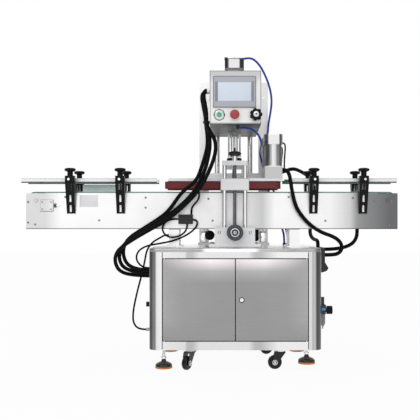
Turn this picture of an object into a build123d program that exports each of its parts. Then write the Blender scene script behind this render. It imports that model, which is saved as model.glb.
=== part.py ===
# Automatic bottle capping machine with a belt conveyor, millimetres, +Z up.
# It is modelled about the conveyor's centreline: X runs along the conveyor, Y is 0 at its middle and
# negative on the operator's side, and Z is 0 at the floor. On export everything moves by line_y, so that
# the origin is at the middle of the whole machine's footprint.
from build123d import *
import os
from math import pi, radians, sin, tan

os.makedirs("parts", exist_ok=True)

# General fits
fit = 0.05             # radial clearance of a shaft in its bore
gap = 0.3              # clearance between curved faces that move past each other
centre_x = 128         # the capping axis, which is also the middle of the cabinet

# Cabinet
cab_width = 820
cab_depth = 600
cab_bottom = 97
cab_top = 577
cab_sheet = 2
seam_width = 4         # the shadow gap between each post and its rails
seam_depth = 6
cornice_height = 17
post_width = 63
corner_radius = 45
top_rail_height = 29
bottom_rail_height = 38
rail_depth = 30

# Doors and their lock
door_thickness = 18
door_sheet = 1.5
door_gap = 4.5
door_pin_radius = 3
door_pin_length = 12
door_pin_inset = 6
lock_inset = 27.5
lock_height = 334
lock_head_radius = 13
lock_barrel_radius = 9.5
lock_cam_length = 42

# Electrics inside the cabinet; each unit is width, depth, height
plate_standoff = 20
plate_margin = 67
plate_rows = (130, 280)            # rail middles above the plate's lower edge
rail_thickness = 8
rail_width = 34
unit_space = 15
drive_size = (80, 110, 96)
supply_size = (100, 80, 84)
terminal_size = (150, 70, 76)
relay_count = 9
relay_unit_size = (26, 60, 76)
relay_space = 4

# Castors and levelling feet
caster_front_inset = (193, 45)     # kingpins, from the cabinet's side and front
caster_rear_inset = (210, 160)     # and from its side and back
wheel_radius = 33
wheel_width = 26
wheel_clearance = 0.3  # the machine stands on its feet, and the wheels just clear the floor
caster_trail = 28
caster_plate_thickness = 4
kingpin_radius = 6
axle_radius = 5
foot_inset_x = 67
foot_inset_y = 68
foot_radius = 41
foot_pad_height = 9
foot_ball_radius = 13.5
foot_stud_radius = 7
raised_foot = 22       # the front right foot is screwed up off the floor

# Conveyor
conveyor_left = -915
conveyor_right = 943
conveyor_half = 90     # outer face of each side plate from the centreline
conveyor_bottom = 666
conveyor_top = 845
conveyor_sheet = 3
conveyor_flange = 22
roller_radius = 37
roller_inset = 48
roller_shaft_radius = 10
belt_thickness = 6
belt_half = 86
bed_thickness = 1.5
support_size = 50
support_x = (-175, 428)
tie_x = (-790, -470, -175, 428, 560)
tie_radius = 12
tie_height = 690
guard_x = (-664, -464) # a plate behind the belt, between the two left-hand rear brackets
guard_low = 812
guard_high = 896
drive_inset = 303      # the drive motor's bracket, from the conveyor's right end
drive_above = 50       # its axis above the conveyor's lower edge
drive_gearbox = (74, 84)
drive_body = (40, 130) # radius and length
drive_cap = (86, 30)

# Guide rails and their brackets
rail_outer_end = 943
rail_left_inner = -262
rail_right_inner = 405
rail_y = 74            # middle of the aluminium bar
rail_bar = 12          # bar thickness
rail_low = 903
rail_high = 920
strip_thickness = 8
strip_low = 898
strip_high = 915
strip_overhang = 26
rail_rod_radius = 6
bracket_x = (-688, -440, 521, 768)
bracket_head_width = 45
bracket_head_depth = 38
bracket_head_low = 883
bracket_head_high = 930
bracket_foot_width = 41
bracket_foot_depth = 9
bracket_leg_depth = 14
bracket_leg_low = 743
bracket_knob_radius = 28
bracket_knob_height = 18
bracket_knob_stem = (14, 21)       # radius and height
rail_travel = 20       # inwards and outwards

# Rear posts and columns
post_half = 184        # outer edge of each rear post from the capping axis
post_size = 50
post_front = 190
post_top = 1449
post_wall = 3
crossbar_low = 935
crossbar_height = 27
upper_crossbar_low = 1355
crossbar_depth = 40
column_x = 88.5
column_y = 210
column_radius = 14

# Head
head_half = 121
head_front = -315
head_back = 160
head_bottom = 1163
head_top = 1413
head_sheet = 1.5
head_plate_thickness = 12
head_block_depth = 80
head_block_top = 1320
screen_width = 201
screen_height = 148
screen_x = -4.5        # from the capping axis
screen_z = 1313
screen_depth = 6
display_width = 157
display_height = 89
button_z = 1205
start_x = -76
stop_x = -4
clamp_x = 96
button_ring_radius = 22.5
start_radius = 12
start_stem = 8
stop_radius = 22
clamp_knob_radius = 29
clamp_hub_radius = 14.5
clamp_stem_radius = 6

gland_y = -225         # middle one of the three cable glands on the head's left side
gland_z = 1331
gland_pitch = 20
gland_radius = 9.5
gland_length = 14

# Head motor
motor_flange = 100
motor_radius = 45
motor_cap = 97
motor_cap_low = 1480
motor_cap_high = 1530

# Quill and chuck
quill_y = 0
quill_bush_length = 40
quill_rod_radius = 12
quill_rod_spacing = 21
quill_bottom = 1031
quill_plate_thickness = 10
quill_stroke = 40
quill_spare = 20       # between the yoke and its bushes at the bottom of the stroke
spindle_radius = 6
chuck_radius = 38
chuck_high = 1027
chuck_low = 1013
jaw_drop = 10
jaw_width = 14
jaw_length = 20
jaw_travel = 3
jaw_inner = 14         # from the spindle's axis, at rest
drive_sleeve_radius = 10

# Clamp frames, front and rear alike
frame_y = 148          # axis of the upright rods from the centreline
frame_plate_depth = 40
frame_low = 579
frame_shoulder = 674
frame_half_top = 99
frame_half_base = 126
frame_base_height = 15
frame_rod_radius = 10.5
frame_rod_x = 51
frame_top_low = 980
frame_top_high = 1002
frame_top_half = 62
height_screw_radius = 8
height_journal_radius = 6
height_knob_radius = 32
height_knob_stem = 24  # between the top plate and the knob
height_knob_height = 22
slide_block_half = 70
slide_block_low = 857
slide_block_high = 915
width_axis_z = 650
width_screw_radius = 9
guide_bar_radius = 8
guide_bar_x = 76
handwheel_radius = 40
handwheel_y = 205
handwheel_width = 17
width_open = 20        # how far each frame moves outwards

# Clamp belts
belt_line = 88         # middle of each belt loop from the centreline
pulley_radius = 32
clamp_belt_thickness = 6
clamp_belt_low = 867
clamp_belt_high = 902
belt_idler_x = -182
belt_drive_x = 320
belt_plate_low = 904
belt_plate_high = 918
belt_plate_left = -203
belt_plate_right = 365
belt_plate_half = 38
gearbox_size = 88
gearbox_height = 62
belt_motor_radius = 42
belt_motor_top = 1087
belt_motor_cap = 92
belt_motor_cap_height = 51

# Regulator and switch on the cabinet's sides
regulator_inset = 100  # both from the cabinet's front
switch_inset = 110
regulator_z = 277
regulator_knob_radius = 20
switch_z = 302
switch_radius = 12

# Cables and air tubes
sleeve_radius = 8
lead_radius = 4.5
motor_lead_radius = 4
air_radius = 5.5
entry_z = 440          # where the head's sleeves enter the cabinet's left side
entry_radius = 33
gland_low_y = -222
gland_low_z = 184
gland_high_y = -68
gland_high_z = 470
hood_pitch = 50        # plug hoods on the cabinet's right side
hood_y = -25
hood_width = 34
hood_depth = 42
hood_kick = 18         # how much further out the lower end reaches
hood_inset = 5         # below the cabinet's top
hood_height = 124
relay_left = -152
relay_low = 691
relay_size = (72, 26, 47)
air_port_height = 12

# Worked-out places
cab_left = centre_x - cab_width / 2
cab_right = centre_x + cab_width / 2
cab_front = -cab_depth / 2
cab_back = cab_depth / 2
opening_left = cab_left + post_width
opening_right = cab_right - post_width
clamp_knob_depth = 30
clamp_knob_front = head_front - clamp_knob_depth
line_y = -(clamp_knob_front + cab_back) / 2
door_low = cab_bottom + cab_sheet + bottom_rail_height + door_gap
door_high = cab_top - cornice_height - top_rail_height - door_gap
door_width = (opening_right - opening_left - 3 * door_gap) / 2
height_knob_low = frame_top_high + height_knob_stem
height_knob_high = height_knob_low + height_knob_height
foot_x = cab_width / 2 - foot_inset_x
foot_y = cab_depth / 2 - foot_inset_y
regulator_y = cab_front + regulator_inset
switch_y = cab_front + switch_inset
roller_z = conveyor_top + bed_thickness - roller_radius
rod_z = (rail_low + rail_high) / 2
bracket_back = -conveyor_half - bracket_leg_depth + 2
bracket_front = bracket_back - bracket_head_depth
bracket_bolt_heights = (bracket_leg_low + 35, bracket_leg_low + 85)
quill_top = head_bottom + quill_bush_length + quill_stroke + quill_spare
quill_yoke_height = 10
spindle_top = head_top - 15


def block(x, y, z):
    """A box between two X, two Y and two Z values."""
    size = (x[1] - x[0], y[1] - y[0], z[1] - z[0])
    middle = ((x[0] + x[1]) / 2, (y[0] + y[1]) / 2, (z[0] + z[1]) / 2)
    return Pos(*middle) * Box(*size)


def upright(radius, z, x=0, y=0):
    """A round bar along Z."""
    return Pos(x, y, (z[0] + z[1]) / 2) * Cylinder(radius, z[1] - z[0])


def crosswise(radius, y, x=0, z=0):
    """A round bar along Y."""
    return Pos(x, (y[0] + y[1]) / 2, z) * Rot(90, 0, 0) * Cylinder(radius, y[1] - y[0])


def lengthwise(radius, x, y=0, z=0):
    """A round bar along X."""
    return Pos((x[0] + x[1]) / 2, y, z) * Rot(0, 90, 0) * Cylinder(radius, x[1] - x[0])


def tube_x(x, y, z, wall):
    """A square tube along X."""
    inner = block(x, (y[0] + wall, y[1] - wall), (z[0] + wall, z[1] - wall))
    return block(x, y, z) - inner


def tube_y(x, y, z, wall):
    """A square tube along Y."""
    inner = block((x[0] + wall, x[1] - wall), y, (z[0] + wall, z[1] - wall))
    return block(x, y, z) - inner


def turned(points, x=0, y=0, z=0):
    """A solid of revolution about Z from (radius, height) points."""
    profile = make_face(Polyline(*[(r, 0, h) for r, h in points], close=True))
    return Pos(x, y, z) * revolve(profile, Axis.Z)


def rounded_plate(width, depth, thickness, radius):
    """A flat plate with four rounded corners, its underside at Z 0."""
    return extrude(RectangleRounded(width, depth, radius), thickness)


def octagonal_cap(size, corner, low, high):
    """A square motor cap with cut corners and a small top bevel."""
    outline = Rectangle(size, size)
    outline = chamfer(outline.vertices(), corner)
    cap = Pos(0, 0, low) * extrude(outline, high - low)
    return chamfer(cap.faces().sort_by(Axis.Z)[-1].edges(), 3)


def lobed_knob(radius, thickness, lobes, depth, lens=False):
    """A star knob: a flat or lens-shaped disc with round scallops, axis along Z, underside at Z 0."""
    knob = Cylinder(radius, thickness, align=(Align.CENTER, Align.CENTER, Align.MIN))
    scallop = radius * sin(pi / lobes) * 0.5
    for i in range(lobes):
        turn = 360 / lobes * (i + 0.5)
        cut = Pos(radius + scallop - depth, 0, thickness / 2) * Cylinder(scallop, thickness * 2)
        knob -= Rot(0, 0, turn) * cut
    if lens:
        body = [
            (0, 0), (radius * 0.62, 0), (radius * 0.86, thickness * 0.14), (radius, thickness * 0.4),
            (radius, thickness * 0.62), (radius * 0.86, thickness * 0.87), (radius * 0.6, thickness),
            (0, thickness),
        ]
        return (knob & turned(body)).solid()
    top = [e for e in knob.edges() if e.center().Z > thickness - 0.01]
    return chamfer(top, min(2, thickness / 6))


# Cabinet

def corner_post():
    """The front left post: an angle of folded sheet with a large outside radius."""
    outer = Rectangle(post_width, post_width, align=(Align.MIN, Align.MIN))
    outer = fillet(outer.vertices().sort_by(Axis.X)[:2].sort_by(Axis.Y)[:1], corner_radius)
    inner = Rectangle(post_width, post_width, align=(Align.MIN, Align.MIN))
    inner = fillet(inner.vertices().sort_by(Axis.X)[:2].sort_by(Axis.Y)[:1], corner_radius - cab_sheet)
    angle = outer - Pos(cab_sheet, cab_sheet) * inner
    height = cab_top - cornice_height - cab_bottom - cab_sheet
    return Pos(cab_left, cab_front, cab_bottom + cab_sheet) * extrude(angle, height)


def door_pin(x, z):
    return upright(door_pin_radius, z, x, cab_front + door_pin_inset)


def caster_top(x, y):
    """The fixed half of a castor: its bolted plate, the bearing cup and the kingpin."""
    under = cab_bottom
    plate = Pos(x, y, under - caster_plate_thickness) * rounded_plate(76, 62, caster_plate_thickness, 6)
    cup = upright(22, (under - caster_plate_thickness - 7, under - caster_plate_thickness), x, y)
    pin_low = under - caster_plate_thickness - 7 - 7
    return plate + cup + upright(kingpin_radius, (pin_low, under - caster_plate_thickness), x, y)


def caster_places():
    """Name, X, Y and the direction that each fork trails, in degrees."""
    return (
        ("front_left", cab_left + caster_front_inset[0], cab_front + caster_front_inset[1], 242),
        ("front_right", cab_right - caster_front_inset[0], cab_front + caster_front_inset[1], 180),
        ("rear_left", cab_left + caster_rear_inset[0], cab_back - caster_rear_inset[1], 180),
        ("rear_right", cab_right - caster_rear_inset[0], cab_back - caster_rear_inset[1], 180),
    )


def cabinet_frame():
    """Posts, rails, door pins and the fixed halves of the castors."""
    post = corner_post()
    across = Plane((centre_x, 0, 0), x_dir=(0, 1, 0), z_dir=(1, 0, 0))
    posts = [post, mirror(post, about=across)]
    posts += [mirror(p, about=Plane.XZ) for p in posts]
    low = (cab_bottom + cab_sheet, cab_bottom + cab_sheet + bottom_rail_height)
    high = (cab_top - cornice_height - top_rail_height, cab_top - cornice_height)
    rails = []
    for z in (low, high):
        front = tube_x((opening_left, opening_right), (cab_front, cab_front + rail_depth), z, cab_sheet)
        for x in (opening_left, opening_right - seam_width):
            front -= block((x, x + seam_width), (cab_front - 1, cab_front + seam_depth), (z[0] - 1, z[1] + 1))
        side_y = (cab_front + post_width, cab_back - post_width)
        side = tube_y((cab_left, cab_left + rail_depth), side_y, z, cab_sheet)
        rails += [front, mirror(front, about=Plane.XZ), side, mirror(side, about=across)]
    left = opening_left + door_gap + door_pin_inset
    right = opening_right - door_gap - door_pin_inset
    pins = []
    for x in (left, right):
        pins.append(door_pin(x, (low[1], door_low + door_pin_length)))
        pins.append(door_pin(x, (door_high - door_pin_length, high[0])))
    tops = [caster_top(x, y) for _, x, y, _ in caster_places()]
    return posts + rails + pins + tops


def cabinet_top():
    """The cornice: a shallow upturned tray with a rounded top edge."""
    outer = Pos(centre_x, 0, cab_top - cornice_height) * rounded_plate(
        cab_width, cab_depth, cornice_height, corner_radius
    )
    rim = outer.faces().sort_by(Axis.Z)[-1].edges()
    outer = fillet(rim, 7)
    inner = Pos(centre_x, 0, cab_top - cornice_height) * rounded_plate(
        cab_width - 8, cab_depth - 8, cornice_height - 4, corner_radius - 4
    )
    return outer - inner


def cabinet_panels():
    """Side and rear panels between the posts, and the bottom tray."""
    z = (cab_bottom + cab_sheet + bottom_rail_height, cab_top - cornice_height - top_rail_height)
    y = (cab_front + post_width, cab_back - post_width)
    left = block((cab_left, cab_left + cab_sheet), y, z)
    right = block((cab_right - cab_sheet, cab_right), y, z)
    rear = block((opening_left, opening_right), (cab_back - cab_sheet, cab_back), z)
    tray = Pos(centre_x, 0, cab_bottom) * rounded_plate(cab_width, cab_depth, cab_sheet, corner_radius)
    return [left, right, rear, tray]


def door(left):
    """A folded sheet door, open at the back, with bored pivot blocks at its hinge side."""
    x0 = opening_left + door_gap
    back = cab_front + door_thickness
    shell = block((x0, x0 + door_width), (cab_front, back), (door_low, door_high))
    inside = block(
        (x0 + door_sheet, x0 + door_width - door_sheet),
        (cab_front + door_sheet, back),
        (door_low + door_sheet, door_high - door_sheet),
    )
    shell -= inside
    pivot = x0 + door_pin_inset
    for z in ((door_low, door_low + 22), (door_high - 22, door_high)):
        shell += block((x0, x0 + 2 * door_pin_inset), (cab_front, cab_front + 2 * door_pin_inset), z)
    shell -= door_pin_hole(pivot, (door_low, door_low + door_pin_length + 1))
    shell -= door_pin_hole(pivot, (door_high - door_pin_length - 1, door_high))
    if left:
        return shell
    across = Plane((centre_x, 0, 0), x_dir=(0, 1, 0), z_dir=(1, 0, 0))
    shell = mirror(shell, about=across)
    return shell - crosswise(lock_barrel_radius + fit, (cab_front - 1, back), lock_x(), lock_height)


def door_pin_hole(x, z):
    return upright(door_pin_radius + fit, z, x, cab_front + door_pin_inset)


def lock_x():
    return centre_x + door_gap / 2 + lock_inset


def door_lock():
    """A cam lock: round head, barrel through the door, and a cam that hangs down when unlocked."""
    back = cab_front + door_thickness + 4
    head = crosswise(lock_head_radius, (cab_front - 4, cab_front - fit), lock_x(), lock_height)
    head = chamfer(head.faces().sort_by(Axis.Y)[0].edges(), 1)
    slot = block((lock_x() - 1.2, lock_x() + 1.2), (cab_front - 4, cab_front - 1.5),
                 (lock_height - 5, lock_height + 5))
    barrel = crosswise(lock_barrel_radius, (cab_front - 1, back), lock_x(), lock_height)
    cam = block((lock_x() - 7, lock_x() + 7), (back - 2.5, back), (lock_height - lock_cam_length, lock_height))
    return head - slot + barrel + cam


def electrics_plate():
    """The mounting plate at the back of the cabinet, with two drives, a power supply and relays."""
    plate_y = cab_back - cab_sheet - plate_standoff
    left, right = opening_left + plate_margin, opening_right - plate_margin
    low, high = cab_bottom + plate_margin, cab_top - plate_margin
    pieces = [block((left, right), (plate_y - cab_sheet, plate_y), (low, high))]
    for x in (left + 10, right - 10):
        for z in (low + 10, high - 10):
            pieces.append(crosswise(5, (plate_y, cab_back - cab_sheet), x, z))
    face = plate_y - cab_sheet - rail_thickness
    rows = (low + plate_rows[0], low + plate_rows[1])
    for z in rows:
        rail_z = (z - rail_width / 2, z + rail_width / 2)
        pieces.append(block((left + 20, right - 20), (face, plate_y - cab_sheet), rail_z))
    x = left + 30
    for width, depth, height in (drive_size, drive_size, supply_size, terminal_size):
        unit = block((x, x + width), (face - depth, face), (rows[1] - height / 2, rows[1] + height / 2))
        pieces.append(chamfer(unit.faces().sort_by(Axis.Y)[0].edges(), 3))
        x += width + unit_space
    width, depth, height = relay_unit_size
    for i in range(relay_count):
        x = left + 30 + i * (width + relay_space)
        pieces.append(block((x, x + width), (face - depth, face), (rows[0] - height / 2, rows[0] + height / 2)))
    return pieces


# Castors and feet

def fork_turn(part, x, y, trail):
    return Pos(x, y, 0) * Rot(0, 0, trail) * part


def caster_fork():
    """The swivelling half of a castor, trailing along +X: a bored crown, two cheeks and an axle."""
    crown_high = cab_bottom - caster_plate_thickness - 7 - gap
    crown_low = crown_high - 5
    axle_z = wheel_clearance + wheel_radius
    outer = wheel_width / 2 + 5
    crown = block((-22, 30), (-outer, outer), (crown_low, crown_high))
    crown += upright(22, (crown_low, crown_high))
    crown = fillet([e for e in crown.edges() if e.center().X > 29 and abs(e.center().Y) > 1], 4)
    cheeks = None
    for side in (-1, 1):
        outline = make_hull(
            [
                *(Pos(caster_trail, axle_z) * Circle(13)).edges(),
                *(Pos(4, crown_low) * Rectangle(50, 1)).edges(),
            ]
        )
        cheek = extrude(outline, 1.5, both=True)
        cheek = Rot(90, 0, 0) * cheek
        cheek = Pos(0, side * (wheel_width / 2 + 3.5), 0) * cheek
        cheeks = cheek if cheeks is None else cheeks + cheek
    axle = Pos(caster_trail, 0, axle_z) * Rot(90, 0, 0) * Cylinder(axle_radius, 2 * outer + 6)
    fork = crown + cheeks + axle
    return fork - upright(kingpin_radius + fit, (crown_low - 1, crown_high + 1))


def caster_wheel():
    """A rubber tyred wheel, with a stepped hub, at its place in an unturned fork."""
    half = wheel_width / 2
    points = [
        (axle_radius + fit, -half), (11, -half), (11, -half + 4), (20, -half + 4), (20, -half + 1),
        (wheel_radius - 5, -half + 1), (wheel_radius, -half + 7), (wheel_radius, half - 7),
        (wheel_radius - 5, half - 1), (20, half - 1), (20, half - 4), (11, half - 4), (11, half),
        (axle_radius + fit, half),
    ]
    wheel = Rot(90, 0, 0) * turned(points)
    return Pos(caster_trail, 0, wheel_clearance + wheel_radius) * wheel


def foot_places():
    """X, Y and the height of each pad off the floor."""
    return [
        (centre_x - foot_x, -foot_y, 0), (centre_x + foot_x, -foot_y, raised_foot),
        (centre_x - foot_x, foot_y, 0), (centre_x + foot_x, foot_y, 0),
    ]


def levelling_feet():
    """Each foot: a rubber pad, and a pressed steel dome with its ball, stud and lock nut."""
    pieces = []
    for x, y, lift in foot_places():
        pad_top = lift + foot_pad_height
        pad = upright(foot_radius, (lift, pad_top), x, y)
        pieces.append(chamfer(pad.faces().sort_by(Axis.Z)[0].edges(), 1.5))
        nut_low = cab_bottom - 9
        ball, stud = foot_ball_radius, foot_stud_radius
        heights = [
            (foot_radius - 0.5, 0), (foot_radius - 0.5, 6), (foot_radius - 2, 10), (foot_radius - 7, 14.5),
            (foot_radius - 14, 18.5), (foot_radius - 21, 21), (ball + 1.5, 23), (ball - 1.5, 26),
            (ball - 3, 29), (ball - 3, 32), (ball - 1, 35), (ball, 41), (ball - 1, 47), (stud, 51),
        ]
        profile = [(0, pad_top), *[(r, pad_top + h) for r, h in heights], (stud, cab_bottom), (0, cab_bottom)]
        dome = turned(profile, x, y)
        nut = Pos(x, y, nut_low) * extrude(RegularPolygon(12.5, 6), 9)
        pieces.append(dome + nut)
    return pieces


# Cabinet fittings

def main_switch():
    """The rotary switch knob on the cabinet's left side, axis along X."""
    knob = lengthwise(switch_radius, (cab_left - 16, cab_left - 4), switch_y, switch_z)
    knob = chamfer(knob.faces().sort_by(Axis.X)[0].edges(), 1.5)
    grip = block((cab_left - 22, cab_left - 16), (switch_y - 3, switch_y + 3),
                 (switch_z - switch_radius, switch_z + switch_radius))
    stem = lengthwise(4, (cab_left - 4, cab_left - gap), switch_y, switch_z)
    return knob + grip + stem


def air_regulator():
    """A filter-regulator: bracket, body, gauge port on top and a bowl with its drain underneath."""
    x = cab_right
    bracket = block((x, x + 3), (regulator_y - 28, regulator_y + 28), (regulator_z - 30, regulator_z + 30))
    body = block((x + 3, x + 29), (regulator_y - 21, regulator_y + 21), (regulator_z - 20, regulator_z + 24))
    body = fillet(body.edges().filter_by(Axis.Z).sort_by(Axis.X)[-2:], 6)
    port = upright(9, (regulator_z + 24, regulator_z + 61), x + 14, regulator_y)
    neck = lengthwise(11, (x + 29, x + 34), regulator_y, regulator_z - 2)
    bowl = turned(
        [(0, 0), (3, 0), (3, 10), (9, 20), (12, 26), (12, 73), (0, 73)],
        x + 15.5, regulator_y, regulator_z - 93,
    )
    return [bracket, body + port + neck, bowl]


def regulator_knob():
    """The fluted pressure knob, axis along X."""
    x = cab_right + 34 + gap
    knob = lobed_knob(regulator_knob_radius, 27, 16, 1.2)
    return Pos(x, regulator_y, regulator_z - 2) * Rot(0, 90, 0) * knob


# Conveyor

def conveyor_side():
    """The front side plate: a channel folded inwards at its top and bottom, bored for both rollers."""
    x = (conveyor_left, conveyor_right)
    y = (-conveyor_half, -conveyor_half + conveyor_sheet)
    side = block(x, y, (conveyor_bottom, conveyor_top))
    inner = (-conveyor_half, -conveyor_half + conveyor_flange)
    flange_ends = (conveyor_left + 2 * roller_inset, conveyor_right - 2 * roller_inset)
    side += block(flange_ends, inner, (conveyor_top - conveyor_sheet, conveyor_top))
    side += block(x, inner, (conveyor_bottom, conveyor_bottom + conveyor_sheet))
    for shaft_x in roller_places():
        side -= crosswise(roller_shaft_radius + fit, (y[0] - 1, y[1] + 1), shaft_x, roller_z)
    return side


def roller_places():
    return (conveyor_left + roller_inset, conveyor_right - roller_inset)


def conveyor_frame():
    """Side plates, slider bed, tie bars, the four square supports with their feet, and the guard."""
    side = conveyor_side()
    inside = conveyor_half - conveyor_sheet
    pieces = [side, mirror(side, about=Plane.XZ)]
    left, right = roller_places()
    bed_x = (left + roller_radius + 12, right - roller_radius - 12)
    pieces.append(block(bed_x, (-belt_half, belt_half), (conveyor_top, conveyor_top + bed_thickness)))
    for x in tie_x:
        pieces.append(crosswise(tie_radius, (-inside, inside), x, tie_height))
    half = support_size / 2
    for x in support_x:
        for sign in (-1, 1):
            y = sign * (conveyor_half - half)
            post = block((x - half, x + half), (y - half, y + half), (cab_top + 5, conveyor_bottom))
            foot = block((x - half - 14, x + half + 14), (y - half, y + half), (cab_top, cab_top + 5))
            pieces.append(post + foot)
    guard_y = (conveyor_half, conveyor_half + conveyor_sheet)
    pieces.append(block(guard_x, guard_y, (guard_low, guard_high)))
    tension_x = conveyor_left + roller_inset + 25
    plate = block((tension_x, tension_x + 62), (-conveyor_half - 4, -conveyor_half), (756, 811))
    lug = block((tension_x + 72, tension_x + 76), (-conveyor_half - 18, -conveyor_half), (772, 794))
    screw = lengthwise(4, (tension_x + 62, tension_x + 97), -conveyor_half - 10, 783)
    pieces += [plate, lug + screw]
    return pieces


def conveyor_belt():
    """The flat belt as one loop round both rollers."""
    left, right = roller_places()
    inner = SlotCenterToCenter(right - left, 2 * (roller_radius + gap))
    outer = SlotCenterToCenter(right - left, 2 * (roller_radius + gap + belt_thickness))
    loop = Rot(90, 0, 0) * extrude(outer - inner, belt_half, both=True)
    return Pos((left + right) / 2, 0, roller_z) * loop


def roller(x):
    """A conveyor roller with its shaft ends in the side plates."""
    body = crosswise(roller_radius, (-belt_half + 4, belt_half - 4), x, roller_z)
    return body + crosswise(roller_shaft_radius, (-conveyor_half - 6, conveyor_half + 6), x, roller_z)


def conveyor_motor():
    """The gear motor that drives the right-hand roller, hung from a bracket between the side plates."""
    inside = conveyor_half - conveyor_sheet
    z = conveyor_bottom + drive_above
    x = conveyor_right - drive_inset
    length, size = drive_gearbox
    half = size / 2
    bracket = block((x - 6, x), (-inside, inside), (z - half - 4, z + half))
    gearbox = block((x, x + length), (-half, half), (z - half, z + half))
    x += length
    radius, length = drive_body
    body = lengthwise(radius, (x, x + length), 0, z)
    size, thickness = drive_cap
    cap = Pos(x + length, 0, z) * Rot(0, 90, 0) * octagonal_cap(size, 18, 0, thickness)
    return [bracket, gearbox + body + cap]


# Guide rails

def guide_rail(inner_end, outer_end):
    """A front guide rail: aluminium bar, wear strip and the two rods that its brackets clamp."""
    x = sorted((inner_end, outer_end))
    bar = block(x, (-rail_y - rail_bar / 2, -rail_y + rail_bar / 2), (rail_low, rail_high))
    edge = -rail_y + rail_bar / 2
    strip_x = (x[0], x[1]) if x[0] < 0 else (x[0] - strip_overhang, x[1])
    strip = block(strip_x, (edge, edge + strip_thickness), (strip_low, strip_high))
    lip = block(strip_x, (edge - 5, edge), (strip_low, rail_low - gap))
    pieces = [bar, strip + lip]
    for bx in bracket_x:
        if x[0] < bx < x[1]:
            rod_y = (bracket_front - rail_travel - 5, -rail_y - rail_bar / 2)
            pieces.append(crosswise(rail_rod_radius, rod_y, bx, rod_z))
    return pieces


def rail_bracket(x):
    """A moulded rail bracket: a wedge on the side plate with slots and a rod bore, and its knob."""
    wall = -conveyor_half
    side_view = Polyline(
        (0, wall, bracket_leg_low), (0, wall, strip_low - 3), (0, bracket_back, strip_low - 3),
        (0, bracket_back, bracket_head_high), (0, bracket_front, bracket_head_high),
        (0, bracket_front, bracket_head_low + 22), (0, wall - bracket_foot_depth, bracket_leg_low),
        close=True,
    )
    bracket = Pos(x, 0, 0) * extrude(make_face(side_view), bracket_head_width / 2, both=True)
    for side in (-1, 1):
        low_edge = x + side * bracket_foot_width / 2
        high_edge = x + side * bracket_head_width / 2
        outer = x + side * bracket_head_width
        spare = make_face(
            Polyline(
                (low_edge, wall, bracket_leg_low - 1), (outer, wall, bracket_leg_low - 1),
                (outer, wall, bracket_head_low), (high_edge, wall, bracket_head_low), close=True,
            )
        )
        bracket -= extrude(spare, 2 * bracket_head_depth, both=True)
    depth = (bracket_front - 1, wall + 1)
    for z in bracket_bolt_heights:
        bracket -= slot_cut(x, depth, (z - 28, z + 8), 10)
    for side in (-1, 1):
        bracket -= slot_cut(x + side * 6.5, depth, (bracket_head_low - 23, bracket_head_low + 10), 8)
    bracket -= crosswise(rail_rod_radius + fit, (bracket_front - 1, bracket_back + 1), x, rod_z)
    middle_y = (bracket_front + bracket_back) / 2
    bolts = [crosswise(4.8, (wall - 18, wall), x, z) for z in bracket_bolt_heights]
    stem_radius, stem_height = bracket_knob_stem
    knob_low = bracket_head_high + stem_height
    knob = upright(stem_radius, (bracket_head_high, knob_low + 3), x, middle_y)
    knob += Pos(x, middle_y, knob_low) * lobed_knob(bracket_knob_radius, bracket_knob_height, 6, 4, lens=True)
    return [bracket, *bolts, knob]


def slot_cut(x, y, z, width):
    """An upright slot through a plate that faces the operator."""
    length = z[1] - z[0]
    outline = Rot(0, 0, 90) * SlotOverall(length, width)
    middle = Pos(x, (y[0] + y[1]) / 2, (z[0] + z[1]) / 2)
    return middle * Rot(90, 0, 0) * extrude(outline, (y[1] - y[0]) / 2, both=True)


def rail_brackets():
    """Four brackets on each side of the conveyor."""
    pieces = []
    for x in bracket_x:
        front = rail_bracket(x)
        pieces += front + [mirror(p, about=Plane.XZ) for p in front]
    return pieces


# Rear frame

def rear_frame():
    """Two channel posts on foot blocks, two crossbars, and the pair of chromed columns."""
    pieces = []
    for side in (-1, 1):
        x = sorted((centre_x + side * post_half, centre_x + side * (post_half - post_size)))
        y = (post_front, post_front + post_size)
        post = block(x, y, (cab_top + 12, post_top))
        inner = block((x[0] + post_wall, x[1] - post_wall), (y[0] + post_wall, y[1]),
                      (cab_top + 12, post_top))
        middle = centre_x + side * (post_half - post_size / 2)
        slot_z = upper_crossbar_low + crossbar_height / 2
        slot = Pos(middle, post_front, slot_z) * Rot(90, 0, 0) * extrude(SlotOverall(14, 5), 5, both=True)
        pieces.append(post - inner - slot)
        pieces.append(block((x[0] - 8, x[1] + 8), (y[0] - 6, y[1] + 6), (cab_top, cab_top + 12)))
    inside = post_half - post_size
    bar_x = (centre_x - inside, centre_x + inside)
    bar_y = (column_y - crossbar_depth / 2, column_y + crossbar_depth / 2)
    for z in (crossbar_low, upper_crossbar_low):
        pieces.append(block(bar_x, bar_y, (z, z + crossbar_height)))
    for side in (-1, 1):
        column = upright(column_radius, (crossbar_low + crossbar_height, upper_crossbar_low),
                         centre_x + side * column_x, column_y)
        pieces.append(column)
    return pieces


# Head

def head_x(offset):
    return centre_x + offset


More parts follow.
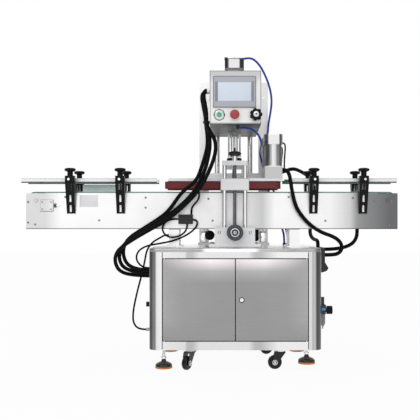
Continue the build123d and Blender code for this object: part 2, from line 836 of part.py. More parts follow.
def head_plate():
    """The head's carrier: a deep base plate bored for the quill, and the block that rides the columns."""
    inside = head_half - head_sheet
    plate = block((head_x(-inside), head_x(inside)), (head_front + head_sheet, head_back),
                  (head_bottom, head_bottom + head_plate_thickness))
    carrier = block((head_x(-head_half), head_x(head_half)), (head_back, head_back + head_block_depth),
                    (head_bottom, head_block_top))
    part = plate + carrier
    bush_top = head_bottom + quill_bush_length
    for side in (-1, 1):
        bush = upright(quill_rod_radius + 7, (head_bottom, bush_top),
                       head_x(side * quill_rod_spacing), quill_y)
        part += bush
    for side in (-1, 1):
        part -= upright(column_radius + fit, (head_bottom - 1, head_block_top + 1),
                        head_x(side * column_x), column_y)
        part -= upright(quill_rod_radius + fit, (head_bottom - 1, bush_top + 1),
                        head_x(side * quill_rod_spacing), quill_y)
    part -= upright(spindle_radius + 1, (head_bottom - 1, bush_top + 1), centre_x, quill_y)
    x, y, z = HEAD_TUBE[0]
    elbow = block((x - 14, x), (y - 7, y + 7), (z - 7, head_bottom))
    return part + elbow


def head_housing():
    """The folded cover, open underneath, with its cut-outs, the button rings and the cable gland."""
    outer = block((head_x(-head_half), head_x(head_half)), (head_front, head_back), (head_bottom, head_top))
    outer = fillet(outer.edges().filter_by(Axis.Z).sort_by(Axis.Y)[:2], 4)
    inside = head_half - head_sheet
    cover = outer - block((head_x(-inside), head_x(inside)), (head_front + head_sheet, head_back - head_sheet),
                          (head_bottom - 1, head_top - head_sheet))
    cover -= block((head_x(-inside), head_x(inside)), (head_back - 5, head_back + 1),
                   (head_bottom - 1, head_block_top))
    front = (head_front - 1, head_front + 5)
    cover -= block((head_x(screen_x - 90), head_x(screen_x + 90)), front, (screen_z - 64, screen_z + 64))
    cover -= crosswise(start_stem + fit, front, head_x(start_x), button_z)
    cover -= crosswise(start_stem + fit, front, head_x(stop_x), button_z)
    cover -= crosswise(clamp_stem_radius + fit, front, head_x(clamp_x), button_z)
    cover -= upright(motor_radius - 8, (head_top - 5, head_top + 1), centre_x, 0)
    pieces = [cover]
    for x, radius in ((start_x, button_ring_radius), (stop_x, start_stem + 7)):
        ring = extrude(Rot(0, 0, 22.5) * RegularPolygon(radius, 8), 5)
        ring = Pos(head_x(x), head_front, button_z) * Rot(90, 0, 0) * ring
        hole = crosswise(button_hole(x) + fit, (head_front - 6, head_front + 1), head_x(x), button_z)
        barrel = crosswise(start_stem + 5, (head_front + head_sheet, head_front + 34), head_x(x), button_z)
        bore = crosswise(start_stem + fit, (head_front, head_front + 35), head_x(x), button_z)
        pieces += [ring - hole, barrel - bore]
    side = head_x(-head_half)
    for i in (-1, 0, 1):
        pieces.append(lengthwise(gland_radius, (side - gland_length, side), gland_y + i * gland_pitch, gland_z))
    return pieces


def button_hole(x):
    return start_radius if x == start_x else start_stem


def touch_screen():
    """The operator panel: bezel with a recessed display, and the body behind it in the cut-out."""
    x, z = head_x(screen_x), screen_z
    bezel = Pos(x, head_front, z) * Rot(90, 0, 0) * extrude(
        RectangleRounded(screen_width, screen_height, 3), screen_depth
    )
    bezel = chamfer(bezel.faces().sort_by(Axis.Y)[0].edges(), 1)
    display = Pos(x, head_front - screen_depth, z + 1) * Box(display_width, 2, display_height)
    body = block((x - 88, x + 88), (head_front, head_front + 38), (z - 62, z + 62))
    return bezel - display + body


def start_button():
    """The flush start button, in its ring."""
    x = head_x(start_x)
    cap = crosswise(start_radius, (head_front - 8, head_front - 3.5), x, button_z)
    cap = fillet(cap.faces().sort_by(Axis.Y)[0].edges(), 1.5)
    return cap + crosswise(start_stem, (head_front - 4, head_front + 25), x, button_z)


def stop_button():
    """The mushroom stop button."""
    x = head_x(stop_x)
    profile = [
        (0, 0), (start_stem, 0), (start_stem, 36), (start_stem + 3, 38), (stop_radius, 42),
        (stop_radius, 48), (stop_radius - 3, 51.5), (stop_radius - 9, 54), (0, 55),
    ]
    return Pos(x, head_front + 25, button_z) * Rot(90, 0, 0) * turned(profile)


def panel_knob():
    """The lobed clamping knob at the panel's lower right corner, with its stem."""
    x = head_x(clamp_x)
    knob = lobed_knob(clamp_knob_radius, 18, 7, 5)
    hub = Cylinder(clamp_hub_radius, 5, align=(Align.CENTER, Align.CENTER, Align.MIN))
    knob += Pos(0, 0, 18) * fillet(hub.faces().sort_by(Axis.Z)[-1].edges(), 1.5)
    knob = Pos(x, head_front - 7, button_z) * Rot(90, 0, 0) * knob
    return knob + crosswise(clamp_stem_radius, (head_front - 8, head_front + 30), x, button_z)


def head_motor():
    """The spindle motor on the head, with the hollow drive sleeve that the spindle slides in."""
    flange = Pos(centre_x, 0, head_top) * rounded_plate(motor_flange, motor_flange, 10, 6)
    sleeve_low = quill_top + quill_yoke_height + 14
    flange += upright(drive_sleeve_radius, (sleeve_low, head_top), centre_x, quill_y)
    flange -= upright(spindle_radius + fit, (sleeve_low - 1, spindle_top + 3), centre_x, quill_y)
    body = upright(motor_radius, (head_top + 10, motor_cap_low - 12), centre_x, 0)
    ring = Pos(centre_x, 0, motor_cap_low - 12) * rounded_plate(motor_cap, motor_cap, 12, 8)
    cap = Pos(centre_x, 0, 0) * octagonal_cap(motor_cap, 20, motor_cap_low, motor_cap_high)
    nipple = upright(4, (motor_cap_high, motor_cap_high + 14), centre_x, 0)
    box = block((centre_x - motor_cap / 2 - 2, centre_x - motor_cap / 2 + 16), (-34, 10),
                (motor_cap_high, motor_cap_high + 7))
    x, y, z = MOTOR_TUBE[0]
    elbow = block((x - 16, x), (y - 7, y + 7), (motor_cap_high, z + 7))
    return [flange + body + ring + cap + nipple, box, fillet(elbow.edges().filter_by(Axis.Y), 3)]


def quill():
    """Two guide rods with a yoke at the top and the spindle's bearing plate at the bottom."""
    low = quill_bottom + quill_plate_thickness
    pieces = None
    for side in (-1, 1):
        rod = upright(quill_rod_radius, (low, quill_top), head_x(side * quill_rod_spacing), quill_y)
        pieces = rod if pieces is None else pieces + rod
    half = quill_rod_spacing + quill_rod_radius + 1
    plate = Pos(centre_x, quill_y, quill_bottom) * rounded_plate(2 * half, 34, quill_plate_thickness, 12)
    yoke = Pos(centre_x, quill_y, quill_top) * rounded_plate(2 * half, 34, quill_yoke_height, 12)
    part = pieces + plate + yoke
    bore_z = (quill_bottom - 1, quill_top + quill_yoke_height + 1)
    return part - upright(spindle_radius + fit, bore_z, centre_x, quill_y)


def jaw_angles():
    return (-150, -30, 90)


def cap_chuck():
    """The spindle and its round chuck body, with three radial grooves for the jaws."""
    spindle = upright(spindle_radius, (chuck_high, spindle_top), centre_x, quill_y)
    collar = upright(spindle_radius + 5, (chuck_high, quill_bottom - gap), centre_x, quill_y)
    nut_low = quill_top + quill_yoke_height + gap
    nut = upright(spindle_radius + 4, (nut_low, nut_low + 9), centre_x, quill_y)
    body = upright(chuck_radius, (chuck_low, chuck_high), centre_x, quill_y)
    body = chamfer(body.faces().sort_by(Axis.Z)[-1].edges(), 2)
    for angle in jaw_angles():
        groove = block((jaw_inner - jaw_travel - 5, chuck_radius + 1), (-jaw_width / 2 - fit, jaw_width / 2 + fit),
                       (chuck_low - 1, chuck_low + 6))
        body -= Pos(centre_x, quill_y, 0) * Rot(0, 0, angle) * groove
    return spindle + collar + nut + body


def chuck_jaw(angle):
    """One rubber-faced jaw in its groove, with the hanging finger that grips the cap."""
    inner = jaw_inner
    key = block((inner, inner + jaw_length), (-jaw_width / 2, jaw_width / 2), (chuck_low, chuck_low + 6 - fit))
    finger = block((inner, inner + 9), (-jaw_width / 2, jaw_width / 2), (chuck_low - jaw_drop, chuck_low))
    return Pos(centre_x, quill_y, 0) * Rot(0, 0, angle) * (key + finger)


# Clamp frames and their width adjustment

def width_base():
    """The fixed block under the conveyor that carries the width screw and the two guide bars."""
    half = guide_bar_x + 24
    base = block((centre_x - half, centre_x + half), (-30, 30), (cab_top, conveyor_bottom - 4))
    reach = frame_y + frame_plate_depth / 2 - 2
    for side in (-1, 1):
        base += crosswise(guide_bar_radius, (-reach, reach), centre_x + side * guide_bar_x, width_axis_z)
    return base - crosswise(width_screw_radius + fit, (-31, 31), centre_x, width_axis_z)


def clamp_frame():
    """The front sliding frame: lower plate with a wider foot, two upright rods and the top plate."""
    y = (-frame_y - frame_plate_depth / 2, -frame_y + frame_plate_depth / 2)
    base_top = frame_low + frame_base_height
    outline = Polyline(
        (-frame_half_base, frame_low), (frame_half_base, frame_low), (frame_half_base, base_top),
        (frame_half_top, base_top), (frame_half_top, frame_shoulder),
        (-frame_half_top, frame_shoulder), (-frame_half_top, base_top),
        (-frame_half_base, base_top), close=True,
    )
    lower = Pos(centre_x, y[1], 0) * Rot(90, 0, 0) * extrude(make_face(outline), frame_plate_depth)
    lower -= crosswise(width_screw_radius + fit, (y[0] - 1, y[1] + 1), centre_x, width_axis_z)
    for side in (-1, 1):
        lower -= crosswise(guide_bar_radius + fit, (y[0] - 1, y[1] + 1),
                           centre_x + side * guide_bar_x, width_axis_z)
    lower -= upright(height_journal_radius + fit, (frame_shoulder - 10, frame_shoulder + 1), centre_x, -frame_y)
    top = block((centre_x - frame_top_half, centre_x + frame_top_half), y, (frame_top_low, frame_top_high))
    top = fillet(top.edges().filter_by(Axis.Z), 4)
    top -= upright(height_screw_radius + fit, (frame_top_low - 1, frame_top_high + 1), centre_x, -frame_y)
    rods = [
        upright(frame_rod_radius, (frame_shoulder, frame_top_low), centre_x + side * frame_rod_x, -frame_y)
        for side in (-1, 1)
    ]
    return [lower, top, *rods]


def clamp_carrier():
    """The front slide block and belt plate, with the belt's idler and drive shafts."""
    y = (-frame_y - frame_plate_depth / 2 + 2, -belt_line - pulley_radius - clamp_belt_thickness - 1)
    slider = block((centre_x - slide_block_half, centre_x + slide_block_half), y,
                   (slide_block_low, slide_block_high))
    slider = fillet(slider.edges().filter_by(Axis.Z).sort_by(Axis.Y)[:2], 3)
    plate_y = (y[1] - 2, -belt_line + belt_plate_half)
    plate = block((belt_plate_left, belt_plate_right), plate_y, (belt_plate_low, belt_plate_high))
    plate = chamfer(plate.edges().filter_by(Axis.Y).sort_by(Axis.X)[:2].sort_by(Axis.Z)[-1:], 8)
    part = slider + plate
    for side in (-1, 1):
        part -= upright(frame_rod_radius + fit, (slide_block_low - 1, belt_plate_high + 1),
                        centre_x + side * frame_rod_x, -frame_y)
    return part - upright(height_screw_radius + fit, (slide_block_low - 1, belt_plate_high + 1),
                          centre_x, -frame_y)


def clamp_belt():
    """The front gripping belt as one loop, with its drive and idler pulleys and their shafts."""
    length = belt_drive_x - belt_idler_x
    middle = (belt_drive_x + belt_idler_x) / 2
    outer = SlotCenterToCenter(length, 2 * (pulley_radius + clamp_belt_thickness))
    inner = SlotCenterToCenter(length, 2 * pulley_radius)
    loop = Pos(middle, -belt_line, clamp_belt_low) * extrude(outer - inner, clamp_belt_high - clamp_belt_low)
    pieces = [loop]
    for x in (belt_idler_x, belt_drive_x):
        pulley = upright(pulley_radius - gap, (clamp_belt_low + 3, clamp_belt_high - 3), x, -belt_line)
        pulley += upright(9, (clamp_belt_low, belt_plate_low), x, -belt_line)
        pieces.append(pulley)
    return pieces


def belt_motor():
    """The front belt's gear motor: square gearbox, polished round body and cut-cornered cap."""
    gearbox_low = belt_plate_high
    gearbox = Pos(0, 0, gearbox_low) * rounded_plate(gearbox_size, gearbox_size, gearbox_height - 5, 5)
    flange = Pos(0, 0, gearbox_low + gearbox_height - 5) * rounded_plate(
        gearbox_size - 4, gearbox_size - 4, 5, 5
    )
    body = upright(belt_motor_radius, (gearbox_low + gearbox_height, belt_motor_top))
    cap = octagonal_cap(belt_motor_cap, 18, belt_motor_top, belt_motor_top + belt_motor_cap_height)
    return Pos(belt_drive_x, -belt_line, 0) * (gearbox + flange + body + cap)


def height_screw():
    """The front height screw with its lower journal, shiny stem and black lobed knob."""
    screw = upright(height_screw_radius, (frame_shoulder + gap, height_knob_low))
    screw += upright(height_journal_radius, (frame_shoulder - 9, frame_shoulder + gap))
    stem = upright(height_screw_radius + 4, (frame_top_high + gap, height_knob_low))
    knob = Pos(0, 0, height_knob_low) * lobed_knob(height_knob_radius, height_knob_height, 6, 5, lens=True)
    peak = upright(5, (height_knob_high, height_knob_high + 18))
    peak = fillet(peak.faces().sort_by(Axis.Z)[-1].edges(), 2)
    return Pos(centre_x, -frame_y, 0) * (screw + stem + knob + peak)


def width_screw():
    """The cross screw that moves both frames, with the operator's handwheel on its front end."""
    reach = frame_y + frame_plate_depth / 2 + width_open + 4
    screw = crosswise(width_screw_radius, (-handwheel_y, reach), centre_x, width_axis_z)
    half = handwheel_width / 2
    rim = [
        (handwheel_radius - 12, -half), (handwheel_radius - 3, -half), (handwheel_radius, -half + 3),
        (handwheel_radius, half - 3), (handwheel_radius - 3, half), (handwheel_radius - 12, half),
        (handwheel_radius - 14, half - 4), (22, half - 5), (21, half - 2), (18, half - 1), (15, half - 4),
        (9, half - 4), (9, half - 1), (0, half - 1), (0, -half), (14, -half), (14, -half + 4),
        (handwheel_radius - 14, -half + 4),
    ]
    wheel = Pos(centre_x, -handwheel_y, width_axis_z) * Rot(90, 0, 0) * turned(rim)
    spot = crosswise(3.5, (-handwheel_y - half - 4, -handwheel_y), centre_x - 22, width_axis_z - 24)
    collar = crosswise(14, (30 + gap, 38), centre_x, width_axis_z)
    collar += crosswise(14, (-38, -30 - gap), centre_x, width_axis_z)
    return screw + wheel + spot + collar


def plug_hood(y):
    """An angled cable plug on the cabinet's right side, its lower end kicked outwards."""
    x, out = cab_right, cab_right + hood_depth
    high = cab_top - hood_inset
    low = high - hood_height
    outline = Polyline(
        (x, high), (out, high), (out, low + 52), (out + hood_kick, low + 22), (out + 8, low + 8),
        (x + 26, low), (x + 12, low + 16), (x, low + 36), close=True,
    )
    hood = Pos(0, y + hood_width / 2, 0) * Rot(90, 0, 0) * extrude(make_face(outline), hood_width)
    return fillet(hood.edges().filter_by(Axis.Y).sort_by(Axis.X)[-2:], 4)


def cable_fittings():
    """Glands, the relay box on the side plate, the plug hoods and the air ports on the cabinet's top."""
    width, depth, height = relay_size
    relay = block((relay_left, relay_left + width), (-conveyor_half - depth, -conveyor_half),
                  (relay_low, relay_low + height))
    relay = fillet(relay.edges().filter_by(Axis.Y), 3)
    pieces = [relay]
    pieces.append(lengthwise(8, (cab_left - 18, cab_left), gland_low_y, gland_low_z))
    pieces.append(lengthwise(7, (cab_left - 10, cab_left), gland_high_y, gland_high_z))
    pieces.append(lengthwise(entry_radius, (cab_left - 8, cab_left), 0, entry_z))
    pieces += [plug_hood(hood_y + i * hood_pitch) for i in (-1, 0, 1)]
    for route in (HEAD_TUBE, MOTOR_TUBE):
        x, y, _ = route[-1]
        pieces.append(upright(air_radius + 3, (cab_top, cab_top + air_port_height), x, y))
    return pieces


# Cables and air tubes. Each route is a list of points from one end to the other.

HEAD_SLEEVES = (
    [
        (-7, -205, 1331), (-24, -205, 1331), (-34, -206, 1306), (-26, -207, 1264), (-17, -207, 1220),
        (-13, -208, 1172), (-6, -208, 1122), (-5, -207, 1068), (-20, -205, 1012), (-36, -203, 962),
        (-52, -199, 918), (-76, -191, 888), (-108, -180, 866), (-138, -168, 838), (-162, -158, 806),
        (-186, -148, 772), (-218, -139, 738), (-268, -127, 704), (-334, -105, 664), (-400, -72, 624),
        (-432, -48, 580), (-437, -34, 528), (-414, -25, 478), (-345, -18, 455), (-290, -18, 455),
    ],
    [
        (-7, -225, 1331), (-21, -225, 1331), (-29, -226, 1306), (-21, -227, 1264), (-13, -227, 1220),
        (-9, -228, 1172), (3, -228, 1124), (8, -227, 1072), (0, -226, 1018), (-13, -224, 966),
        (-33, -219, 914), (-62, -208, 860), (-98, -193, 818), (-136, -178, 782), (-178, -163, 748),
        (-232, -146, 712), (-300, -128, 672), (-356, -108, 640), (-412, -84, 602), (-448, -64, 564),
        (-457, -42, 510), (-434, -18, 462), (-350, 0, 440), (-290, 0, 440),
    ],
    [
        (-7, -245, 1331), (-18, -245, 1331), (-24, -246, 1308), (-16, -247, 1264), (-9, -247, 1220),
        (-9, -248, 1172), (6, -248, 1134), (32, -248, 1096), (36, -247, 1046), (23, -246, 996),
        (3, -244, 946), (-24, -238, 892), (-58, -226, 842), (-98, -207, 800), (-140, -192, 762),
        (-190, -178, 722), (-256, -162, 682), (-326, -143, 644), (-414, -110, 592), (-464, -82, 552),
        (-478, -52, 496), (-452, -14, 441), (-358, 18, 424), (-290, 18, 424),
    ],
)
RELAY_LEADS = (
    [
        (-49, -213, 860), (-44, -186, 830), (-54, -155, 806), (-74, -124, 788), (-88, -103, 768),
        (-88, -103, 738),
    ],
    [
        (-80, -103, 712), (-64, -103, 712), (-56, -105, 694), (-66, -108, 672), (-92, -112, 648),
        (-130, -118, 626), (-182, -126, 606), (-249, -135, 594), (-307, -130, 584), (-345, -118, 563),
        (-362, -102, 536), (-362, -86, 508), (-346, -74, 484), (-322, -68, 470), (-292, -68, 470),
    ],
    [
        (-109, -103, 691), (-109, -103, 668), (-126, -109, 643), (-158, -116, 627), (-196, -118, 624),
        (-224, -118, 643), (-233, -116, 673), (-218, -110, 702), (-186, -103, 716), (-152, -103, 716),
    ],
    [
        (-200, -65, 636), (-222, -65, 636), (-247, -96, 621), (-281, -140, 600), (-305, -158, 562),
        (-312, -172, 514), (-322, -196, 456), (-338, -214, 392), (-353, -222, 326), (-364, -222, 268),
        (-364, -222, 216), (-338, -222, 184), (-300, -222, 184),
    ],
)
FRONT_MOTOR_SLEEVE = [
    (364, -98, 962), (386, -98, 962), (399, -103, 936), (405, -110, 900), (410, -114, 866),
    (419, -117, 826),
]
FRONT_MOTOR_LEAD = [
    (366, -88, 1096), (378, -88, 1096), (382, -90, 1074), (379, -93, 1042), (376, -98, 1006),
    (376, -98, 970.3),
]
REAR_MOTOR_SLEEVE = [
    (364, 98, 962), (388, 98, 962), (424, 116, 980), (466, 156, 982), (508, 190, 960),
]
REAR_MOTOR_LEAD = [
    (366, 88, 1096), (378, 88, 1096), (382, 90, 1074), (379, 93, 1042), (376, 98, 1006),
    (376, 98, 970.3),
]
CABINET_SLEEVES = (
    [
        (419, -117, 826), (428, -120, 786), (450, -121, 746), (480, -121, 708), (521, -118, 672),
        (567, -114, 646), (617, -104, 630), (656, -93, 604), (668, -86, 568), (648, -79, 541),
        (612, -75, 536), (580, -75, 536),
    ],
    [
        (508, 190, 960), (534.25, 211.25, 946.25), (555, 220, 914), (567, 214, 870), (568, 206, 822),
        (565, 199, 772), (553, 187, 723), (539, 168, 680), (532, 140, 645), (535, 105, 622),
        (544, 65, 610), (552, 22, 608), (553, -10, 603), (553, -25, 592), (553, -25, 572),
    ],
    [
        (757, 0, 676), (757, 0, 650), (755, 2, 625), (743, 6, 599), (716, 12, 578), (676, 19, 566),
        (624, 25, 560), (580, 25, 560),
    ],
)
MOTOR_TUBE = [
    (153, 20, 1540), (176, 20, 1540), (200, 30, 1547), (228, 47, 1546), (262, 74, 1520),
    (296, 102, 1466), (322, 130, 1400), (331, 150, 1340), (324, 160, 1282), (314, 166, 1228),
    (310, 168, 1170), (308, 169, 1115), (309, 170, 1060), (313, 170, 1005), (321, 170, 950),
    (333, 170, 895), (349, 169, 840), (366, 168, 785), (384, 168, 730), (402, 168, 680),
    (416, 168, 631), (416, 168, 589),
]
HEAD_TUBE = [
    (146, -236, 1155), (178, -236, 1155), (208, -228, 1149), (234, -206, 1134), (250, -172, 1114),
    (259, -126, 1098), (262, -70, 1088), (261, -10, 1080), (261, 50, 1074), (263, 105, 1066),
    (270, 148, 1048), (281, 168, 1014), (291, 170, 975), (299, 169, 935), (308, 168, 890),
    (321, 168, 845), (337, 168, 795), (355, 168, 745), (373, 168, 700), (390, 168, 658),
    (398, 168, 622), (398, 168, 589),
]


def corner_radii(points):
    """The arc at each corner of a route, as large as its two runs allow."""
    radii = []
    for before, here, after in zip(points, points[1:], points[2:]):
        inward = Vector(here) - Vector(before)
        onward = Vector(after) - Vector(here)
        turn = radians(inward.get_angle(onward))
        radii.append(0.45 * min(inward.length, onward.length) / tan(turn / 2))
    return radii


def cable(name, points, radius):
    """A round cable along straight runs joined by tangent arcs. It prints its arcs and its volume's ratio."""
    radii = corner_radii(points)
    path = FilletPolyline(*points, radius=radii)
    start = Plane(points[0], z_dir=Vector(points[1]) - Vector(points[0]))
    tube = sweep(start * Circle(radius), path=path)
    ratio = tube.volume / (pi * radius**2 * path.length)
    print(f"{name}: {path.length:.0f} long, smallest arc {min(radii):.0f}, volume ratio {ratio:.4f}")
    return tube


def cables():
    """Every cable node by name, as a list of tubes."""
    tubes = {
        "head_harness": [("head sleeve", route, sleeve_radius) for route in HEAD_SLEEVES],
        "cabinet_leads": [("relay lead", route, lead_radius) for route in RELAY_LEADS],
        "front_motor_leads": [
            ("front motor sleeve", FRONT_MOTOR_SLEEVE, sleeve_radius),
            ("front motor lead", FRONT_MOTOR_LEAD, motor_lead_radius),
        ],
        "rear_motor_leads": [
            ("rear motor sleeve", REAR_MOTOR_SLEEVE, sleeve_radius),
            ("rear motor lead", REAR_MOTOR_LEAD, motor_lead_radius),
        ],
        "air_tubes": [
            ("motor air tube", MOTOR_TUBE, air_radius),
            ("head air tube", HEAD_TUBE, air_radius),
        ],
    }
    tubes["cabinet_leads"] += [("cabinet sleeve", route, sleeve_radius) for route in CABINET_SLEEVES]
    return {name: [cable(*tube) for tube in group] for name, group in tubes.items()}


def build():
    """Every node of the machine, by name."""
    nodes = {
        "cabinet_frame": cabinet_frame(),
        "cabinet_top": cabinet_top(),
        "cabinet_panels": cabinet_panels(),
        "left_door": door(True),
        "right_door": door(False),
        "door_lock": door_lock(),
        "electrics_plate": electrics_plate(),
        "levelling_feet": levelling_feet(),
        "main_switch": main_switch(),
        "air_regulator": air_regulator(),
        "regulator_knob": regulator_knob(),
        "conveyor_frame": conveyor_frame(),
        "conveyor_belt": conveyor_belt(),
        "tail_roller": roller(roller_places()[0]),
        "drive_roller": roller(roller_places()[1]),
        "conveyor_motor": conveyor_motor(),
        "rail_brackets": rail_brackets(),
        "rear_frame": rear_frame(),
        "head_plate": head_plate(),
        "head_housing": head_housing(),
        "touch_screen": touch_screen(),
        "start_button": start_button(),
        "stop_button": stop_button(),
        "panel_knob": panel_knob(),
        "head_motor": head_motor(),
        "quill": quill(),
        "cap_chuck": cap_chuck(),
        "width_base": width_base(),
        "width_screw": width_screw(),
        "cable_fittings": cable_fittings(),
    }
    fork, wheel = caster_fork(), caster_wheel()
    for name, x, y, trail in caster_places():
        nodes[f"{name}_caster_fork"] = fork_turn(fork, x, y, trail)
        nodes[f"{name}_caster_wheel"] = fork_turn(wheel, x, y, trail)
    for i, angle in enumerate(jaw_angles(), 1):
        nodes[f"chuck_jaw_{i}"] = chuck_jaw(angle)
    pairs = {
        "left_guide_rail": guide_rail(rail_left_inner, -rail_outer_end),
        "right_guide_rail": guide_rail(rail_right_inner, rail_outer_end),
        "slide": clamp_frame(),
        "carrier": clamp_carrier(),
        "clamp_belt": clamp_belt(),
        "belt_motor": belt_motor(),
        "height_screw": height_screw(),
    }
    for name, pieces in pairs.items():
        pieces = pieces if isinstance(pieces, list) else [pieces]
        nodes[f"front_{name}"] = pieces
        nodes[f"rear_{name}"] = [mirror(p, about=Plane.XZ) for p in pieces]
    nodes.update(cables())
    return nodes


def solids_of(pieces):
    """The solids in a shape or a list of shapes, each at its place on the machine."""
    shapes = pieces if isinstance(pieces, list) else [pieces]
    return [Pos(0, line_y, 0) * solid for shape in shapes for solid in shape.solids()]


def main():
    for name, pieces in build().items():
        solids = solids_of(pieces)
        whole = solids[0] if len(solids) == 1 else Compound(children=solids)
        whole.label = name
        export_step(whole, f"parts/{name}.step")


main()
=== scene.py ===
# Looks of the bottle capping machine: camera, light, finishes, cables and small fittings.
# Blender's lengths are in metres in the part's own frame, +Z up. Places here are in millimetres: at() and the
# pieces count Y from the conveyor's centreline, and the finishes' ramps and zones use the part's own frame.
from math import cos, pi, radians, sin

import bmesh
import bpy
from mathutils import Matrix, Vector


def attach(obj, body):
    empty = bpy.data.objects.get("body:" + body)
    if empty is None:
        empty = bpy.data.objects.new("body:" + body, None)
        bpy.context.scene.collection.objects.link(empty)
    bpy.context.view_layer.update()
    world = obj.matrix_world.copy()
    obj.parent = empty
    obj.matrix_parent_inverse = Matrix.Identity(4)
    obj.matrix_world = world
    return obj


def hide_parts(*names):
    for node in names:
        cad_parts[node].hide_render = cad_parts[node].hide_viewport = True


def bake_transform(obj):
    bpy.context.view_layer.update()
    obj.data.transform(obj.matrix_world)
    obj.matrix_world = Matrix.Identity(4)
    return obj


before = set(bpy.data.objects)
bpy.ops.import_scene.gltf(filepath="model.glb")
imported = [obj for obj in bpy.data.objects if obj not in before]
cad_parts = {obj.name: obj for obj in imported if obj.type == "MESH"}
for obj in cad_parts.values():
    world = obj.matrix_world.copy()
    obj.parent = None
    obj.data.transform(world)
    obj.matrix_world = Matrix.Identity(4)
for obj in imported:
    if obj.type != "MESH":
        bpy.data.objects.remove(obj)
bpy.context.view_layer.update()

MM = 0.001
ROOT = "machine"
LINE_Y = 22.5           # where the conveyor's centreline lies in the part's frame
CAPPING_X = 128         # the middle of the cabinet, the head and the clamp frames
WIDTH_AXIS_Z = 650      # the cross screw that opens and closes the clamp frames
CAB_FRONT = -300
HEAD_FRONT = -315


def at(x, y, z):
    """A place given from the conveyor's centreline in millimetres, in the part's frame in metres."""
    return Vector((x, y + LINE_Y, z)) * MM


# Camera

IMAGE_SIZE = 420
PRINCIPAL_POINT = (221, 219)
FOCAL_PIXELS = 740
SENSOR = 36
CAMERA_PLACE = at(60, -3790, 716)

camera_data = bpy.data.cameras.new("camera")
camera_data.sensor_width = SENSOR
camera_data.lens = FOCAL_PIXELS * SENSOR / IMAGE_SIZE
camera_data.shift_x = (IMAGE_SIZE / 2 - PRINCIPAL_POINT[0]) / IMAGE_SIZE
camera_data.shift_y = (PRINCIPAL_POINT[1] - IMAGE_SIZE / 2) / IMAGE_SIZE
camera = bpy.data.objects.new("camera", camera_data)
camera.location = CAMERA_PLACE
camera.rotation_euler = (radians(90), 0, 0)
bpy.context.scene.collection.objects.link(camera)
bpy.context.scene.camera = camera


# Finishes

NOISE_RANGE = (0.3, 0.7)    # most of a noise's values lie between these
BROAD_SCALE = (7, 7, 7)
RELIEF = 0.5                # height of a finish's fine bump, in millimetres


def add_node(tree, kind, **values):
    """A shader node with its properties, and its inputs where a name matches one."""
    node = tree.nodes.new(kind)
    for name, value in values.items():
        if name in node.inputs:
            node.inputs[name].default_value = value
        else:
            setattr(node, name, value)
    return node


def math_node(tree, operation, first, second):
    """A math node on two sockets or numbers."""
    node = tree.nodes.new("ShaderNodeMath")
    node.operation = operation
    for socket, value in zip(node.inputs, (first, second)):
        if isinstance(value, (int, float)):
            socket.default_value = value
        else:
            tree.links.new(value, socket)
    return node.outputs[0]


def map_range(tree, value, source, result=(0.0, 1.0)):
    """A value moved from one range to another."""
    node = add_node(tree, "ShaderNodeMapRange")
    for name, number in zip(("From Min", "From Max", "To Min", "To Max"), (*source, *result)):
        node.inputs[name].default_value = number
    tree.links.new(value, node.inputs["Value"])
    return node.outputs["Result"]


def grey_ramp(tree, value, stops, unit):
    """A value read off stops of (place, amount), with the places in a unit of the value's."""
    first, last = stops[0][0], stops[-1][0]
    ramp = add_node(tree, "ShaderNodeValToRGB")
    elements = ramp.color_ramp.elements
    while len(elements) < len(stops):
        elements.new(1.0)
    for element, (place, amount) in zip(elements, stops):
        element.position = (place - first) / (last - first)
        element.color = (amount, amount, amount, 1.0)
    tree.links.new(map_range(tree, value, (first * unit, last * unit)), ramp.inputs["Fac"])
    return ramp.outputs["Color"]


def grain_noise(tree, scale, detail=3.0):
    """Noise in the object's own coordinates, stretched by a scale for each axis."""
    coordinates = add_node(tree, "ShaderNodeTexCoord")
    mapping = add_node(tree, "ShaderNodeMapping")
    mapping.inputs["Scale"].default_value = scale
    noise = add_node(tree, "ShaderNodeTexNoise", Scale=1.0, Detail=detail)
    tree.links.new(coordinates.outputs["Object"], mapping.inputs["Vector"])
    tree.links.new(mapping.outputs["Vector"], noise.inputs["Vector"])
    return noise.outputs["Fac"]


def coordinate(tree, axis):
    """One of the object's coordinates, in metres."""
    coordinates = add_node(tree, "ShaderNodeTexCoord")
    split = add_node(tree, "ShaderNodeSeparateXYZ")
    tree.links.new(coordinates.outputs["Object"], split.inputs[0])
    return split.outputs["XYZ".index(axis)]


def zone_mask(tree, limits):
    """1 where every limit holds. A limit is (axis, low, high), or ("ring", (x, z), radius)."""
    mask = 1.0
    for kind, first, second in limits:
        if kind == "ring":
            squares = []
            for axis, middle in zip("XZ", first):
                offset = math_node(tree, "SUBTRACT", coordinate(tree, axis), middle * MM)
                squares.append(math_node(tree, "MULTIPLY", offset, offset))
            total = math_node(tree, "ADD", *squares)
            inside = math_node(tree, "LESS_THAN", total, (second * MM) ** 2)
        else:
            place = coordinate(tree, kind)
            above = math_node(tree, "GREATER_THAN", place, first * MM)
            below = math_node(tree, "LESS_THAN", place, second * MM)
            inside = math_node(tree, "MULTIPLY", above, below)
        mask = math_node(tree, "MULTIPLY", mask, inside)
    return mask


def layer_mask(tree, ramps):
    """The product of ramps. A ramp is (axis, stops), and a stop is (place, share)."""
    mask = 1.0
    for axis, stops in ramps:
        mask = math_node(tree, "MULTIPLY", grey_ramp(tree, coordinate(tree, axis), stops, MM), mask)
    return mask


def mix_value(tree, mask, first, second):
    """A number that changes from first to second where the mask is 1."""
    difference = math_node(tree, "SUBTRACT", second, first)
    return math_node(tree, "ADD", first, math_node(tree, "MULTIPLY", mask, difference))


